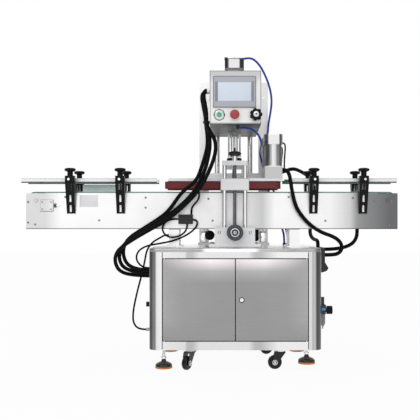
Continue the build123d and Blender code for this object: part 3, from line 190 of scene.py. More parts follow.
def mix_colour(tree, mask, first, second):
    """A colour that changes from first to second where the mask is 1."""
    node = add_node(tree, "ShaderNodeMix", data_type="RGBA")
    inputs = {"Factor": mask, "A": first, "B": second}
    sockets = {s.name: s for s in node.inputs if s.enabled}
    for name, value in inputs.items():
        if isinstance(value, tuple):
            sockets[name].default_value = (*value, 1.0)
        else:
            tree.links.new(value, sockets[name])
    return [s for s in node.outputs if s.enabled][0]


def finish(name, colour, roughness, metallic=0.0, grain=(60, 60, 60), contrast=0.05, bump=0.05,
           uneven=0.08, zones=(), layers=(), **sockets):
    """A finish: its colour with a grain, an uneven roughness, a fine bump, layers and zones.

    A layer is (colour, ramps), and a zone with sharp edges is (limits, colour, roughness, metallic).
    """
    made = bpy.data.materials.new(name)
    made.use_nodes = True
    tree = made.node_tree
    shader = tree.nodes["Principled BSDF"]
    fine = grain_noise(tree, grain)
    broad = grain_noise(tree, BROAD_SCALE, detail=2.0)
    tone = colour
    for layer_colour, ramps in layers:
        tone = mix_colour(tree, layer_mask(tree, ramps), tone, layer_colour)
    rough, metal = roughness, metallic
    for limits, zone_colour, zone_roughness, zone_metallic in zones:
        mask = zone_mask(tree, limits)
        tone = mix_colour(tree, mask, tone, zone_colour)
        rough = mix_value(tree, mask, rough, zone_roughness)
        metal = mix_value(tree, mask, metal, zone_metallic)
    fine_shade = map_range(tree, fine, NOISE_RANGE, (1 - contrast, 1 + contrast))
    broad_shade = map_range(tree, broad, NOISE_RANGE, (1 - contrast / 2, 1 + contrast / 2))
    scaled = add_node(tree, "ShaderNodeVectorMath", operation="SCALE")
    if isinstance(tone, tuple):
        scaled.inputs[0].default_value = tone
    else:
        tree.links.new(tone, scaled.inputs[0])
    tree.links.new(math_node(tree, "MULTIPLY", fine_shade, broad_shade), scaled.inputs["Scale"])
    tree.links.new(scaled.outputs[0], shader.inputs["Base Color"])
    if isinstance(metal, (int, float)):
        shader.inputs["Metallic"].default_value = metal
    else:
        tree.links.new(metal, shader.inputs["Metallic"])
    unevenness = map_range(tree, broad, NOISE_RANGE, (-uneven, uneven))
    tree.links.new(math_node(tree, "ADD", unevenness, rough), shader.inputs["Roughness"])
    relief = add_node(tree, "ShaderNodeBump", Strength=bump, Distance=RELIEF * MM)
    tree.links.new(fine, relief.inputs["Height"])
    tree.links.new(relief.outputs["Normal"], shader.inputs["Normal"])
    for socket, value in sockets.items():
        shader.inputs[socket.replace("_", " ")].default_value = value
    return made


ALONG_X = (8, 500, 500)     # grains: brushed along X, brushed along Z, and turned round Z
ALONG_Z = (500, 500, 8)
ROUND_Z = (60, 60, 900)

BLACK = (0.005, 0.005, 0.006)
SHADOW = (0.035, 0.036, 0.038)
GREY = (0.16, 0.162, 0.168)
BRIGHT = (0.82, 0.82, 0.83)
CHROME = (0.84, 0.84, 0.85)
PLATE_WHITE = (0.80, 0.80, 0.82)

HEAD_CAP = 1480             # height at which the head motor's cap starts
BELT_CAP = 1087             # and the belt motors' caps

# Ramps along an axis of the part's own frame: (axis, ((place in millimetres, share of the layer), ...))
# the *_FRONT ramps below keep the painted reflections and painted shade to the front faces
CABINET_FRONT = ("Y", ((-250, 1), (-238, 0)))
HEAD_FRONT_FACE = ("Y", ((-288, 1), (-280, 0)))
CONVEYOR_FRONT = ("Y", ((-66, 1), (-60, 0)))
CARRIER_FRONT = ("Y", ((-144, 1), (-141, 0)))
# painted reflections: dark and light bands across the cabinet's posts and rails, where the steel would mirror
# the studio
CABINET_PAINTED_REFLECTIONS = ("X", (
    (-282, 0.93), (-269, 0.95), (-267, 0.84), (-262, 0.83), (-260, 0.62), (-258, 0.80), (-250, 0.72),
    (-246, 0.12), (-226, 0), (-212, 0.06), (-110, 0.14), (-100, 0.42), (-75, 0.42), (-40, 0.12),
    (190, 0.12), (220, 0.42), (250, 0.42), (330, 0), (475, 0), (478, 0.16), (491, 0.20), (493, 0.58),
    (498, 0.36), (508, 0.40), (510, 0.92), (538, 0.88),
))
# painted reflections: grey bands along the cornice's front
CORNICE_PAINTED_REFLECTIONS = ("X", (
    (-285, 0.80), (-262, 0.66), (-125, 0.64), (-75, 0.70), (-35, 0.68), (-10, 0), (222, 0), (245, 0.55),
    (320, 0.58), (400, 0.70), (490, 0.62), (515, 0.80), (541, 0.9),
))
# painted reflection: a bright lobe across the doors' upper middle
DOOR_PAINTED_HIGHLIGHT = (
    ("X", (
        (-215, 0.25), (-110, 0.6), (10, 1), (80, 0.85), (128, 0.7), (180, 0.85), (270, 1), (370, 0.6),
        (470, 0.2),
    )),
    ("Z", ((415, 0), (470, 0.25), (500, 0.75), (518, 1))),
)
# painted shade: the doors darker towards their outer sides
DOOR_PAINTED_SIDE_SHADE = (
    ("X", ((-215, 1), (-120, 0.2), (40, 0), (216, 0), (376, 0.2), (471, 1))),
    ("Z", ((150, 0), (240, 1), (470, 1), (530, 0))),
)
# painted reflections: the conveyor's front plate lighter and darker along its length
CONVEYOR_PAINTED_REFLECTIONS = (
    ("X", (
        (-915, 0.30), (-820, 0.32), (-740, 0), (-45, 0.11), (190, 0.14), (230, 0.36), (265, 0.46),
        (330, 0), (605, 0), (650, 0.14), (705, 0.35), (740, 0.76), (780, 0.84), (829, 0.90), (904, 1.0),
        (943, 1.0),
    )),
    ("Z", ((662, 0), (665, 1))),
    CONVEYOR_FRONT,
)
# painted shade: a dark line along the conveyor's lower edge
CONVEYOR_PAINTED_EDGE_SHADE = (("Z", ((662, 0), (665, 0.92), (668.5, 0.85), (671, 0))), CONVEYOR_FRONT)
# painted shade: the head cover darker towards its top, and painted shade along its top and bottom edges
HEAD_TOP_PAINTED_SHADE = ("Z", ((1350, 0), (1400, 1)))
HEAD_PAINTED_EDGE_SHADE = ("Z", ((1163, 0.9), (1167, 0.6), (1170, 0), (1408, 0), (1411, 0.7), (1413, 0.8)))
# painted reflections: the head motor's sides dark, and a dark line round the top of its cap
HEAD_MOTOR_PAINTED_SIDE_SHADE = ("X", ((50, 0.9), (92, 0.95), (97, 0), (150, 0), (156, 0.9), (250, 0.9)))
HEAD_MOTOR_PAINTED_RIM_SHADE = ("Z", ((HEAD_CAP + 44, 0), (HEAD_CAP + 47, 0.9), (HEAD_CAP + 51, 0.9), (HEAD_CAP + 52, 0)))
# painted shade: the belt motors' sides dark
BELT_MOTOR_PAINTED_SIDE_SHADE = (
    ("X", (
        (268, 0), (274, 0.55), (278, 0.6), (283, 0.8), (291, 0.8), (298, 0), (348, 0), (351, 0.8),
        (358, 0.8), (362, 0.25), (370, 0),
    )),
    ("Z", ((976, 0), (979, 1))),
)
# painted reflections: grey bands across the belt motors' bodies
BELT_MOTOR_PAINTED_REFLECTIONS = (
    ("X", (
        (276, 0), (292, 0.7), (310, 0.55), (316, 0), (326, 0), (334, 0.45), (348, 0.4), (362, 0),
    )),
    ("Z", ((980, 0), (982, 1), (BELT_CAP - 2, 1), (BELT_CAP, 0))),
)
BELT_LOWER_EDGE = ("Z", ((848.6, 1), (850.4, 0)))


def painted_edge_shade(axis, low, high, depths, shares):
    """A ramp that paints shade on a face along two opposite edges, darkest at the very edge."""
    near_low = ((low, shares[0]), (low + depths[0], shares[1]), (low + depths[1], 0))
    near_high = ((high - depths[1], 0), (high - depths[0], shares[1]), (high, shares[0]))
    return (axis, near_low + near_high)


# The handwheel's face, seen from the front: rings of (radius, colour, roughness), the widest first
HANDWHEEL_RINGS = (
    (21.3, (0.76, 0.76, 0.77), 0.35),
    (16, (0.025, 0.027, 0.03), 0.40),
    (8.2, (0.62, 0.62, 0.63), 0.35),
    (3, (0.02, 0.02, 0.022), 0.40),
)

finishes = {
    "stainless": finish(
        "stainless", (0.86, 0.855, 0.855), 0.30, 1.0, ALONG_Z, 0.008, 0.0,
        # painted reflections in dark bands on the cabinet's front
        layers=((SHADOW, (CABINET_PAINTED_REFLECTIONS, CABINET_FRONT)),),
    ),
    "cornice": finish(
        "cornice_steel", (0.94, 0.94, 0.94), 0.30, 1.0, ALONG_X, 0.008, 0.0,
        # painted reflections in grey bands on the cornice's front
        layers=((GREY, (CORNICE_PAINTED_REFLECTIONS, CABINET_FRONT)),),
    ),
    "door": finish(
        # the doors' dark grey is a painted reflection of a dark surround, with a painted highlight and
        # painted side shade over it
        "door_steel", (0.33, 0.33, 0.332), 0.42, 1.0, ALONG_X, 0.03, 0.02,
        layers=(((0.98, 0.93, 0.94), DOOR_PAINTED_HIGHLIGHT), ((0.42, 0.42, 0.425), DOOR_PAINTED_SIDE_SHADE)),
    ),
    "conveyor": finish(
        "conveyor_steel", (0.90, 0.90, 0.90), 0.36, 1.0, ALONG_X, 0.015, 0.015,
        # painted reflections along the plate and painted shade along its lower edge
        layers=((GREY, CONVEYOR_PAINTED_REFLECTIONS), (SHADOW, CONVEYOR_PAINTED_EDGE_SHADE)),
        zones=(
            # the painted shadow line round the tension plate, its lug, and the guard behind the belt
            ([("X", -844, -777), ("Z", 753, 812.5), ("Y", -68.6, -60)], GREY, 0.5, 0.2),
            ([("X", -776, -760), ("Z", 768, 798), ("Y", -100, -68.6)], SHADOW, 0.4, 0.2),
            ([("Y", 108, 120), ("Z", 845, 900)], (0.76, 0.82, 0.80), 0.5, 0.0),
        ),
    ),
    "machined": finish("machined", (0.74, 0.74, 0.745), 0.34, 1.0, ALONG_X, 0.05, 0.05),
    "roller": finish(
        "roller", (0.74, 0.74, 0.745), 0.34, 1.0, ALONG_X, 0.05, 0.05,
        zones=(
            # the ends of the shafts
            ([("Y", -90, -62), ("X", 800, 950)], (0.15, 0.15, 0.155), 0.4, 1.0),
            ([("Y", -90, -62), ("X", -950, -800)], (0.60, 0.60, 0.61), 0.4, 1.0),
        ),
    ),
    "chrome": finish("chrome", (0.86, 0.86, 0.87), 0.09, 1.0, ROUND_Z, 0.02, 0.01, 0.04),
    "zinc": finish("zinc", (0.30, 0.30, 0.31), 0.40, 1.0, (90, 90, 90), 0.08, 0.10),
    "white": finish(
        "white_plate", PLATE_WHITE, 0.42, 0.0, (300, 300, 300), 0.02, 0.03,
        layers=(
            # painted shade along the edges of the carriers' front faces
            (GREY, (painted_edge_shade("Z", 857, 915, (2, 3), (0.8, 0.5)), CARRIER_FRONT)),
            (GREY, (painted_edge_shade("X", 58, 198, (2, 3), (0.8, 0.5)), CARRIER_FRONT)),
        ),
    ),
    "head": finish(
        "head_cover", (0.86, 0.86, 0.86), 0.36, 0.15, ALONG_X, 0.015, 0.015,
        layers=(
            # painted shade on the cover's top band and along the edges of its front
            ((0.60, 0.60, 0.605), (HEAD_TOP_PAINTED_SHADE,)),
            (GREY, (painted_edge_shade("X", 7, 249, (3, 6), (0.8, 0.6)), HEAD_FRONT_FACE)),
            (GREY, (HEAD_PAINTED_EDGE_SHADE, HEAD_FRONT_FACE)),
        ),
        zones=(([("Z", 1150, 1166), ("Y", -284, 300)], (0.10, 0.10, 0.105), 0.45, 0.3),),
    ),
    # white plates with chrome rods between them
    "clamp_frame": finish(
        "clamp_frame", PLATE_WHITE, 0.42, 0.0, (300, 300, 300), 0.02, 0.03,
        zones=(([("Z", 674.5, 979.5)], CHROME, 0.10, 1.0),),
    ),
    "rear_posts": finish(
        "rear_posts", (0.97, 0.955, 0.96), 0.42, 0.5, ALONG_Z, 0.015, 0.02,
        zones=(([("Z", 963, 1354), ("Y", 212, 250), ("X", 20, 236)], CHROME, 0.10, 1.0),),
    ),
    "dark_plate": finish("dark_plate", (0.040, 0.042, 0.044), 0.45, 0.6, (120, 120, 120), 0.15, 0.10),
    "red_belt": finish(
        "red_belt", (0.150, 0.018, 0.020), 0.75, 0.0, (350, 350, 350), 0.18, 0.35,
        zones=(([("Z", 898.5, 903)], (0.02, 0.006, 0.007), 0.6, 0.0),),
    ),
    "conveyor_belt": finish(
        "conveyor_belt", (0.30, 0.48, 0.44), 0.50, 0.0, (400, 400, 400), 0.06, 0.12,
        layers=(((0.03, 0.11, 0.075), (BELT_LOWER_EDGE,)),),
    ),
    "black": finish(
        "black_plastic", BLACK, 0.42, 0.0, (250, 250, 250), 0.20, 0.08, Specular_IOR_Level=0.14,
    ),
    "tyre": finish(
        "tyre", (0.006, 0.006, 0.007), 0.30, 0.0, (200, 200, 200), 0.20, 0.08, Specular_IOR_Level=0.25,
    ),
    "fork": finish(
        "fork", (0.008, 0.008, 0.009), 0.20, 0.0, (150, 150, 150), 0.20, 0.06, Specular_IOR_Level=0.35,
    ),
    "sleeve": finish(
        "sleeve", (0.003, 0.003, 0.0034), 0.62, 0.0, (420, 420, 420), 0.30, 0.20, Specular_IOR_Level=0.10,
    ),
    "blue_tube": finish(
        "blue_tube", (0.010, 0.050, 0.36), 0.30, 0.0, (90, 90, 90), 0.06, 0.02, Specular_IOR_Level=0.35,
    ),
    "orange": finish("orange_pad", (0.74, 0.25, 0.055), 0.60, 0.0, (260, 260, 260), 0.12, 0.20),
    "dark_chrome": finish("foot_dome", (0.022, 0.022, 0.024), 0.14, 0.25, (120, 120, 120), 0.08, 0.03),
    "rail": finish(
        "guide_rail", (0.86, 0.84, 0.845), 0.38, 0.3, ALONG_X, 0.01, 0.0,
        zones=(
            # the green strip below, the upper edge, the rods on both sides, and the strip's bare end
            ([("Z", 890, 903.1)], (0.012, 0.07, 0.05), 0.5, 0.0),
            ([("Z", 918.6, 925)], (0.30, 0.30, 0.31), 0.4, 0.5),
            ([("Y", -300, -58), ("Z", 890, 925)], BRIGHT, 0.18, 1.0),
            ([("Y", 103, 300), ("Z", 890, 925)], BRIGHT, 0.18, 1.0),
            ([("X", 370, 404.9)], (0.005, 0.17, 0.085), 0.5, 0.0),
        ),
    ),
    "head_motor": finish(
        "head_motor", (0.68, 0.68, 0.69), 0.26, 1.0, ROUND_Z, 0.03, 0.02,
        # painted dark reflections on the motor's sides and cap rim
        layers=((SHADOW, (HEAD_MOTOR_PAINTED_SIDE_SHADE,)), (SHADOW, (HEAD_MOTOR_PAINTED_RIM_SHADE,))),
        zones=(([("Z", HEAD_CAP - 12, HEAD_CAP + 1)], GREY, 0.42, 0.5),),
    ),
    "belt_motor": finish(
        "belt_motor", (0.80, 0.80, 0.81), 0.34, 0.9, ROUND_Z, 0.03, 0.02,
        # painted side shade and painted reflections on the belt motors
        layers=((SHADOW, BELT_MOTOR_PAINTED_SIDE_SHADE), (GREY, BELT_MOTOR_PAINTED_REFLECTIONS)),
        zones=(([("Z", 900, 975)], (0.62, 0.615, 0.60), 0.48, 0.2),),
    ),
    "height_screw": finish(
        "height_screw", (0.14, 0.14, 0.145), 0.34, 1.0, ROUND_Z, 0.15, 0.30,
        zones=(([("Z", 1025, 1080)], BLACK, 0.40, 0.0), ([("Z", 1002, 1025)], BRIGHT, 0.20, 1.0)),
    ),
    "handwheel": finish(
        "handwheel", (0.060, 0.066, 0.075), 0.42, 0.2, (160, 160, 160), 0.12, 0.06,
        zones=[
            ([("ring", (CAPPING_X, WIDTH_AXIS_Z), radius)], colour, roughness, 0.3)
            for radius, colour, roughness in HANDWHEEL_RINGS
        ],
    ),
    "regulator": finish(
        "regulator", (0.010, 0.014, 0.030), 0.38, 0.0, (150, 150, 150), 0.10, 0.08,
        zones=(
            # the mounting plate, the blue ring and the bowl
            ([("X", 537, 541.2)], (0.45, 0.45, 0.46), 0.35, 1.0),
            ([("X", 545, 565), ("Z", 275, 287)], (0.02, 0.27, 0.55), 0.35, 0.0),
            ([("Z", 180, 257)], (0.19, 0.20, 0.21), 0.18, 0.0),
        ),
    ),
    "fittings": finish(
        "fittings", BLACK, 0.42, 0.0, (250, 250, 250), 0.20, 0.10,
        zones=(([("X", -302, -281), ("Z", 170, 198)], (0.36, 0.37, 0.38), 0.45, 0.0),),
    ),
    "screen_bezel": finish(
        "screen_bezel", (0.44, 0.445, 0.50), 0.42, 0.0, (300, 300, 300), 0.02, 0.03,
        layers=(
            # painted shade round the bezel's edges
            (GREY, (painted_edge_shade("X", 23, 224, (3, 5), (0.9, 0.7)),)),
            (GREY, (painted_edge_shade("Z", 1239, 1387, (3, 5), (0.9, 0.7)),)),
        ),
    ),
    "bezel_side": finish("bezel_side", (0.26, 0.265, 0.29), 0.40, 0.0, (300, 300, 300), 0.02, 0.03),
    "display": finish(
        "display", (0.68, 0.75, 0.86), 0.20, 0.0, (40, 40, 40), 0.01, 0.0, 0.02, Coat_Weight=0.2,
    ),
    "green": finish(
        "green_lens", (0.045, 0.42, 0.23), 0.25, 0.0, (120, 120, 120), 0.06, 0.03, Coat_Weight=0.4,
    ),
    "red": finish(
        "red_cap", (0.36, 0.035, 0.035), 0.38, 0.0, (120, 120, 120), 0.06, 0.03, Coat_Weight=0.2,
    ),
    "jaw": finish("jaw_rubber", (0.02, 0.02, 0.02), 0.70, 0.0, (350, 350, 350), 0.20, 0.30),
    "chuck": finish(
        "chuck", (0.03, 0.03, 0.032), 0.40, 0.7, (160, 160, 160), 0.15, 0.10,
        zones=(([("Z", 1028, 1420)], (0.6, 0.6, 0.61), 0.25, 1.0),),
    ),
    "electrics": finish("electrics", (0.36, 0.37, 0.38), 0.5, 0.2, (90, 90, 90), 0.10, 0.06),
}

NODE_FINISHES = {
    "cabinet_frame": "stainless", "cabinet_top": "cornice", "cabinet_panels": "stainless",
    "left_door": "door", "right_door": "door", "door_lock": "chrome", "electrics_plate": "electrics",
    "main_switch": "black", "air_regulator": "regulator", "regulator_knob": "black",
    "conveyor_frame": "conveyor", "conveyor_belt": "conveyor_belt", "tail_roller": "roller",
    "drive_roller": "roller", "conveyor_motor": "belt_motor", "rail_brackets": "black",
    "rear_frame": "rear_posts", "head_plate": "dark_plate", "head_housing": "head",
    "touch_screen": "screen_bezel", "start_button": "green", "stop_button": "red",
    "panel_knob": "black", "head_motor": "head_motor", "quill": "chrome", "cap_chuck": "chuck",
    "width_base": "machined", "width_screw": "handwheel", "cable_fittings": "fittings",
}
for end in ("front", "rear"):
    for side in ("left", "right"):
        NODE_FINISHES[f"{end}_{side}_guide_rail"] = "rail"
        NODE_FINISHES[f"{end}_{side}_caster_fork"] = "fork"
        NODE_FINISHES[f"{end}_{side}_caster_wheel"] = "tyre"
    NODE_FINISHES[f"{end}_slide"] = "clamp_frame"
    NODE_FINISHES[f"{end}_carrier"] = "white"
    NODE_FINISHES[f"{end}_clamp_belt"] = "red_belt"
    NODE_FINISHES[f"{end}_belt_motor"] = "belt_motor"
    NODE_FINISHES[f"{end}_height_screw"] = "height_screw"
for jaw in (1, 2, 3):
    NODE_FINISHES[f"chuck_jaw_{jaw}"] = "jaw"

for node_name, finish_name in NODE_FINISHES.items():
    node_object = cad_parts[node_name]
    if not node_object.material_slots:
        node_object.data.materials.append(finishes[finish_name])
    for material_slot in node_object.material_slots:
        material_slot.link = "OBJECT"
        material_slot.material = finishes[finish_name]


# Pieces

SHARP_ANGLE = radians(32)
WASHER_HEIGHT = 1.2


def piece(name, mesh_source, finish_name, body=None):
    """A mesh object with a finish, smooth but for its sharp edges."""
    for edge in mesh_source.edges:
        if len(edge.link_faces) == 2 and edge.calc_face_angle() > SHARP_ANGLE:
            edge.smooth = False
    for face in mesh_source.faces:
        face.smooth = True
    mesh = bpy.data.meshes.new(name)
    mesh_source.to_mesh(mesh)
    mesh_source.free()
    made = bpy.data.objects.new(name, mesh)
    bpy.context.scene.collection.objects.link(made)
    mesh.materials.append(finishes[finish_name])
    if body:
        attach(made, body)
    return made


def add_lathe(target, profile, place, direction=(0, 0, 1), steps=40):
    """A closed turned form of (radius, height) points in millimetres, added to a mesh."""
    turn = Vector((0, 0, 1)).rotation_difference(Vector(direction)).to_matrix()
    rings = []
    for radius, height in profile:
        count = 1 if radius == 0 else steps
        ring = []
        for i in range(count):
            angle = 2 * pi * i / steps
            spot = Vector((radius * cos(angle), radius * sin(angle), height)) * MM
            ring.append(target.verts.new(place + turn @ spot))
        rings.append(ring)
    pairs = list(zip(rings, rings[1:]))
    if profile[0][0] and profile[-1][0]:
        pairs.append((rings[-1], rings[0]))
    for low, high in pairs:
        for i in range(steps):
            j = (i + 1) % steps
            if len(low) == 1:
                target.faces.new((low[0], high[j], high[i]))
            elif len(high) == 1:
                target.faces.new((low[i], low[j], high[0]))
            else:
                target.faces.new((low[i], low[j], high[j], high[i]))
    return target


def add_box(target, low, high, bevel=0.0):
    """A box between two corners in millimetres from the centreline, added to a mesh, with bevelled edges."""
    centre = (at(*low) + at(*high)) / 2
    size = Vector([abs(h - l) * MM for l, h in zip(low, high)])
    made = bmesh.ops.create_cube(target, size=1.0)
    bmesh.ops.scale(target, vec=size, verts=made["verts"])
    bmesh.ops.translate(target, vec=centre, verts=made["verts"])
    if bevel:
        edges = list({e for v in made["verts"] for e in v.link_edges})
        bmesh.ops.bevel(target, geom=edges, offset=bevel * MM, segments=3, affect="EDGES", profile=0.5)
    return target


def add_hex_bolt(target, place, direction, across=10.0, height=5.0):
    """A washer and a hexagon head with a domed top."""
    washer = [(0, 0), (across * 0.95, 0), (across * 0.95, WASHER_HEIGHT), (0, WASHER_HEIGHT)]
    add_lathe(target, washer, place, direction, 24)
    radius = across / 2 / cos(pi / 6)
    head = [(0, 0), (radius, 0), (radius, height * 0.75), (radius * 0.8, height), (0, height)]
    add_lathe(target, head, place + Vector(direction) * WASHER_HEIGHT * MM, direction, 6)


def add_cap_screw(target, place, direction, radius=4.0, height=4.0):
    """A socket head: a rounded rim with a sunken socket."""
    profile = [
        (0, 0), (radius, 0), (radius, height - 0.6), (radius - 0.6, height), (radius * 0.5, height),
        (radius * 0.5, height * 0.4), (0, height * 0.4),
    ]
    add_lathe(target, profile, place, direction, 24)


# Cables and air tubes. The routes are those of the part, from one end to the other.

HEAD_SLEEVES = (
    [
        (-7, -205, 1331), (-24, -205, 1331), (-34, -206, 1306), (-26, -207, 1264), (-17, -207, 1220),
        (-13, -208, 1172), (-6, -208, 1122), (-5, -207, 1068), (-20, -205, 1012), (-36, -203, 962),
        (-52, -199, 918), (-76, -191, 888), (-108, -180, 866), (-138, -168, 838), (-162, -158, 806),
        (-186, -148, 772), (-218, -139, 738), (-268, -127, 704), (-334, -105, 664), (-400, -72, 624),
        (-432, -48, 580), (-437, -34, 528), (-414, -25, 478), (-345, -18, 455), (-290, -18, 455),
    ],
    [
        (-7, -225, 1331), (-21, -225, 1331), (-29, -226, 1306), (-21, -227, 1264), (-13, -227, 1220),
        (-9, -228, 1172), (3, -228, 1124), (8, -227, 1072), (0, -226, 1018), (-13, -224, 966),
        (-33, -219, 914), (-62, -208, 860), (-98, -193, 818), (-136, -178, 782), (-178, -163, 748),
        (-232, -146, 712), (-300, -128, 672), (-356, -108, 640), (-412, -84, 602), (-448, -64, 564),
        (-457, -42, 510), (-434, -18, 462), (-350, 0, 440), (-290, 0, 440),
    ],
    [
        (-7, -245, 1331), (-18, -245, 1331), (-24, -246, 1308), (-16, -247, 1264), (-9, -247, 1220),
        (-9, -248, 1172), (6, -248, 1134), (32, -248, 1096), (36, -247, 1046), (23, -246, 996),
        (3, -244, 946), (-24, -238, 892), (-58, -226, 842), (-98, -207, 800), (-140, -192, 762),
        (-190, -178, 722), (-256, -162, 682), (-326, -143, 644), (-414, -110, 592), (-464, -82, 552),
        (-478, -52, 496), (-452, -14, 441), (-358, 18, 424), (-290, 18, 424),
    ],
)
RELAY_LEADS = (
    [
        (-49, -213, 860), (-44, -186, 830), (-54, -155, 806), (-74, -124, 788), (-88, -103, 768),
        (-88, -103, 738),
    ],
    [
        (-80, -103, 712), (-64, -103, 712), (-56, -105, 694), (-66, -108, 672), (-92, -112, 648),
        (-130, -118, 626), (-182, -126, 606), (-249, -135, 594), (-307, -130, 584), (-345, -118, 563),
        (-362, -102, 536), (-362, -86, 508), (-346, -74, 484), (-322, -68, 470), (-292, -68, 470),
    ],
    [
        (-109, -103, 691), (-109, -103, 668), (-126, -109, 643), (-158, -116, 627), (-196, -118, 624),
        (-224, -118, 643), (-233, -116, 673), (-218, -110, 702), (-186, -103, 716), (-152, -103, 716),
    ],
    [
        (-200, -65, 636), (-222, -65, 636), (-247, -96, 621), (-281, -140, 600), (-305, -158, 562),
        (-312, -172, 514), (-322, -196, 456), (-338, -214, 392), (-353, -222, 326), (-364, -222, 268),
        (-364, -222, 216), (-338, -222, 184), (-300, -222, 184),
    ],
)
FRONT_MOTOR_SLEEVE = [
    (364, -98, 962), (386, -98, 962), (399, -113, 940), (405, -123, 904), (410, -122, 866),
    (419, -117, 826),
]
FRONT_MOTOR_LEAD = [
    (366, -88, 1096), (378, -88, 1096), (382, -90, 1074), (379, -93, 1042), (376, -98, 1006),
    (376, -98, 970.3),
]
REAR_MOTOR_SLEEVE = [
    (364, 98, 962), (388, 98, 962), (424, 116, 980), (466, 156, 982), (508, 190, 960),
]
REAR_MOTOR_LEAD = [
    (366, 88, 1096), (378, 88, 1096), (382, 90, 1074), (379, 93, 1042), (376, 98, 1006),
    (376, 98, 970.3),
]
CABINET_SLEEVES = (
    [
        (419, -117, 826), (428, -120, 786), (450, -121, 746), (480, -121, 708), (521, -118, 672),
        (567, -114, 646), (617, -104, 630), (656, -93, 604), (668, -86, 568), (648, -79, 541),
        (612, -75, 536), (580, -75, 536),
    ],
    [
        (508, 190, 960), (534.25, 211.25, 946.25), (555, 220, 914), (567, 214, 870), (568, 206, 822),
        (565, 199, 772), (553, 187, 723), (539, 168, 680), (532, 140, 645), (535, 105, 622),
        (544, 65, 610), (552, 22, 608), (553, -10, 603), (553, -25, 592), (553, -25, 572),
    ],
    [
        (757, 0, 676), (757, 0, 650), (755, 2, 625), (743, 6, 599), (716, 12, 578), (676, 19, 566),
        (624, 25, 560), (580, 25, 560),
    ],
)
MOTOR_TUBE = [
    (153, 20, 1540), (176, 20, 1540), (200, 30, 1547), (228, 47, 1546), (262, 74, 1520),
    (296, 102, 1466), (322, 130, 1400), (331, 150, 1340), (324, 160, 1282), (314, 166, 1228),
    (310, 168, 1170), (308, 169, 1115), (309, 170, 1060), (313, 170, 1005), (321, 170, 950),
    (333, 170, 895), (349, 169, 840), (366, 168, 785), (384, 168, 730), (402, 168, 680),
    (416, 168, 631), (416, 168, 589),
]
HEAD_TUBE = [
    (146, -236, 1155), (178, -236, 1155), (208, -228, 1149), (234, -206, 1134), (250, -172, 1114),
    (259, -126, 1098), (262, -70, 1088), (261, -10, 1080), (261, 50, 1074), (263, 105, 1066),
    (270, 148, 1048), (281, 168, 1014), (291, 170, 975), (299, 169, 935), (308, 168, 890),
    (321, 168, 845), (337, 168, 795), (355, 168, 745), (373, 168, 700), (390, 168, 658),
    (398, 168, 622), (398, 168, 589),
]
SLEEVE_RADIUS = 9.5
LEAD_RADIUS = 4.5
MOTOR_LEAD_RADIUS = 4
AIR_RADIUS = 5.5


def spline_mesh(route, radius=0.0):
    """The mesh of the smooth line through a route, or of a round tube along it."""
    curve = bpy.data.curves.new("route", "CURVE")
    curve.dimensions = "3D"
    curve.resolution_u = 10
    spline = curve.splines.new("NURBS")
    spline.points.add(len(route) - 1)
    for point, place in zip(spline.points, route):
        point.co = (*at(*place), 1.0)
    spline.order_u = 3
    spline.use_endpoint_u = True
    if radius:
        curve.bevel_depth = radius * MM
        curve.bevel_resolution = 5
        curve.use_fill_caps = True
    holder = bpy.data.objects.new("route", curve)
    bpy.context.scene.collection.objects.link(holder)
    bpy.context.view_layer.update()
    mesh = bpy.data.meshes.new_from_object(holder)
    bpy.data.objects.remove(holder)
    bpy.data.curves.remove(curve)
    return mesh


def route_line(route):
    """The points of a route's smooth line."""
    mesh = spline_mesh(route)
    points = [v.co.copy() for v in mesh.vertices]
    bpy.data.meshes.remove(mesh)
    return points


def cable(name, route, radius, finish_name, node, body=None, bend=None):
    """A cable or tube along a route, in place of a node that it hides. It rides on a body, or stays fixed in
    the part's frame where a bend is given.
    """
    mesh = spline_mesh(route, radius)
    line = route_line(route)
    made = bpy.data.objects.new(name, mesh)
    bpy.context.scene.collection.objects.link(made)
    mesh.materials.append(finishes[finish_name])
    for polygon in mesh.polygons:
        polygon.use_smooth = True
    if bend:
        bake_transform(made)
    else:
        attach(made, body)
    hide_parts(node)
    return made


HEAD_BEND = ("head", ROOT, tuple(at(-20, -225, 1310)), tuple(at(-20, -225, 860)))
for i, sleeve_route in enumerate(HEAD_SLEEVES, 1):
    cable(f"head_sleeve_{i}", sleeve_route, SLEEVE_RADIUS, "sleeve", "head_harness", bend=HEAD_BEND)
for i, lead_route in enumerate(RELAY_LEADS, 1):
    cable(f"relay_lead_{i}", lead_route, LEAD_RADIUS, "sleeve", "cabinet_leads", body=ROOT)
for end, sleeve_route, lead_route in (
    ("front", FRONT_MOTOR_SLEEVE, FRONT_MOTOR_LEAD),
    ("rear", REAR_MOTOR_SLEEVE, REAR_MOTOR_LEAD),
):
    motor_bend = (f"{end}_carrier", f"{end}_slide", tuple(at(*sleeve_route[1])), tuple(at(*sleeve_route[-1])))
    cable(f"{end}_motor_sleeve", sleeve_route, SLEEVE_RADIUS, "sleeve", f"{end}_motor_leads",
          bend=motor_bend)
    cable(f"{end}_motor_lead", lead_route, MOTOR_LEAD_RADIUS, "sleeve", f"{end}_motor_leads",
          body=f"{end}_carrier")
CABINET_BENDS = (
    ("front_slide", ROOT, tuple(at(*CABINET_SLEEVES[0][0])), tuple(at(*CABINET_SLEEVES[0][4]))),
    ("rear_slide", ROOT, tuple(at(*CABINET_SLEEVES[1][0])), tuple(at(*CABINET_SLEEVES[1][5]))),
    None,
)
for i, (sleeve_route, cabinet_bend) in enumerate(zip(CABINET_SLEEVES, CABINET_BENDS), 1):
    cable(f"cabinet_sleeve_{i}", sleeve_route, SLEEVE_RADIUS, "sleeve", "cabinet_leads",
          body=ROOT, bend=cabinet_bend)
cable("motor_air_tube", MOTOR_TUBE, AIR_RADIUS, "blue_tube", "air_tubes",
      bend=("head", ROOT, tuple(at(300, 100, 1480)), tuple(at(310, 168, 950))))
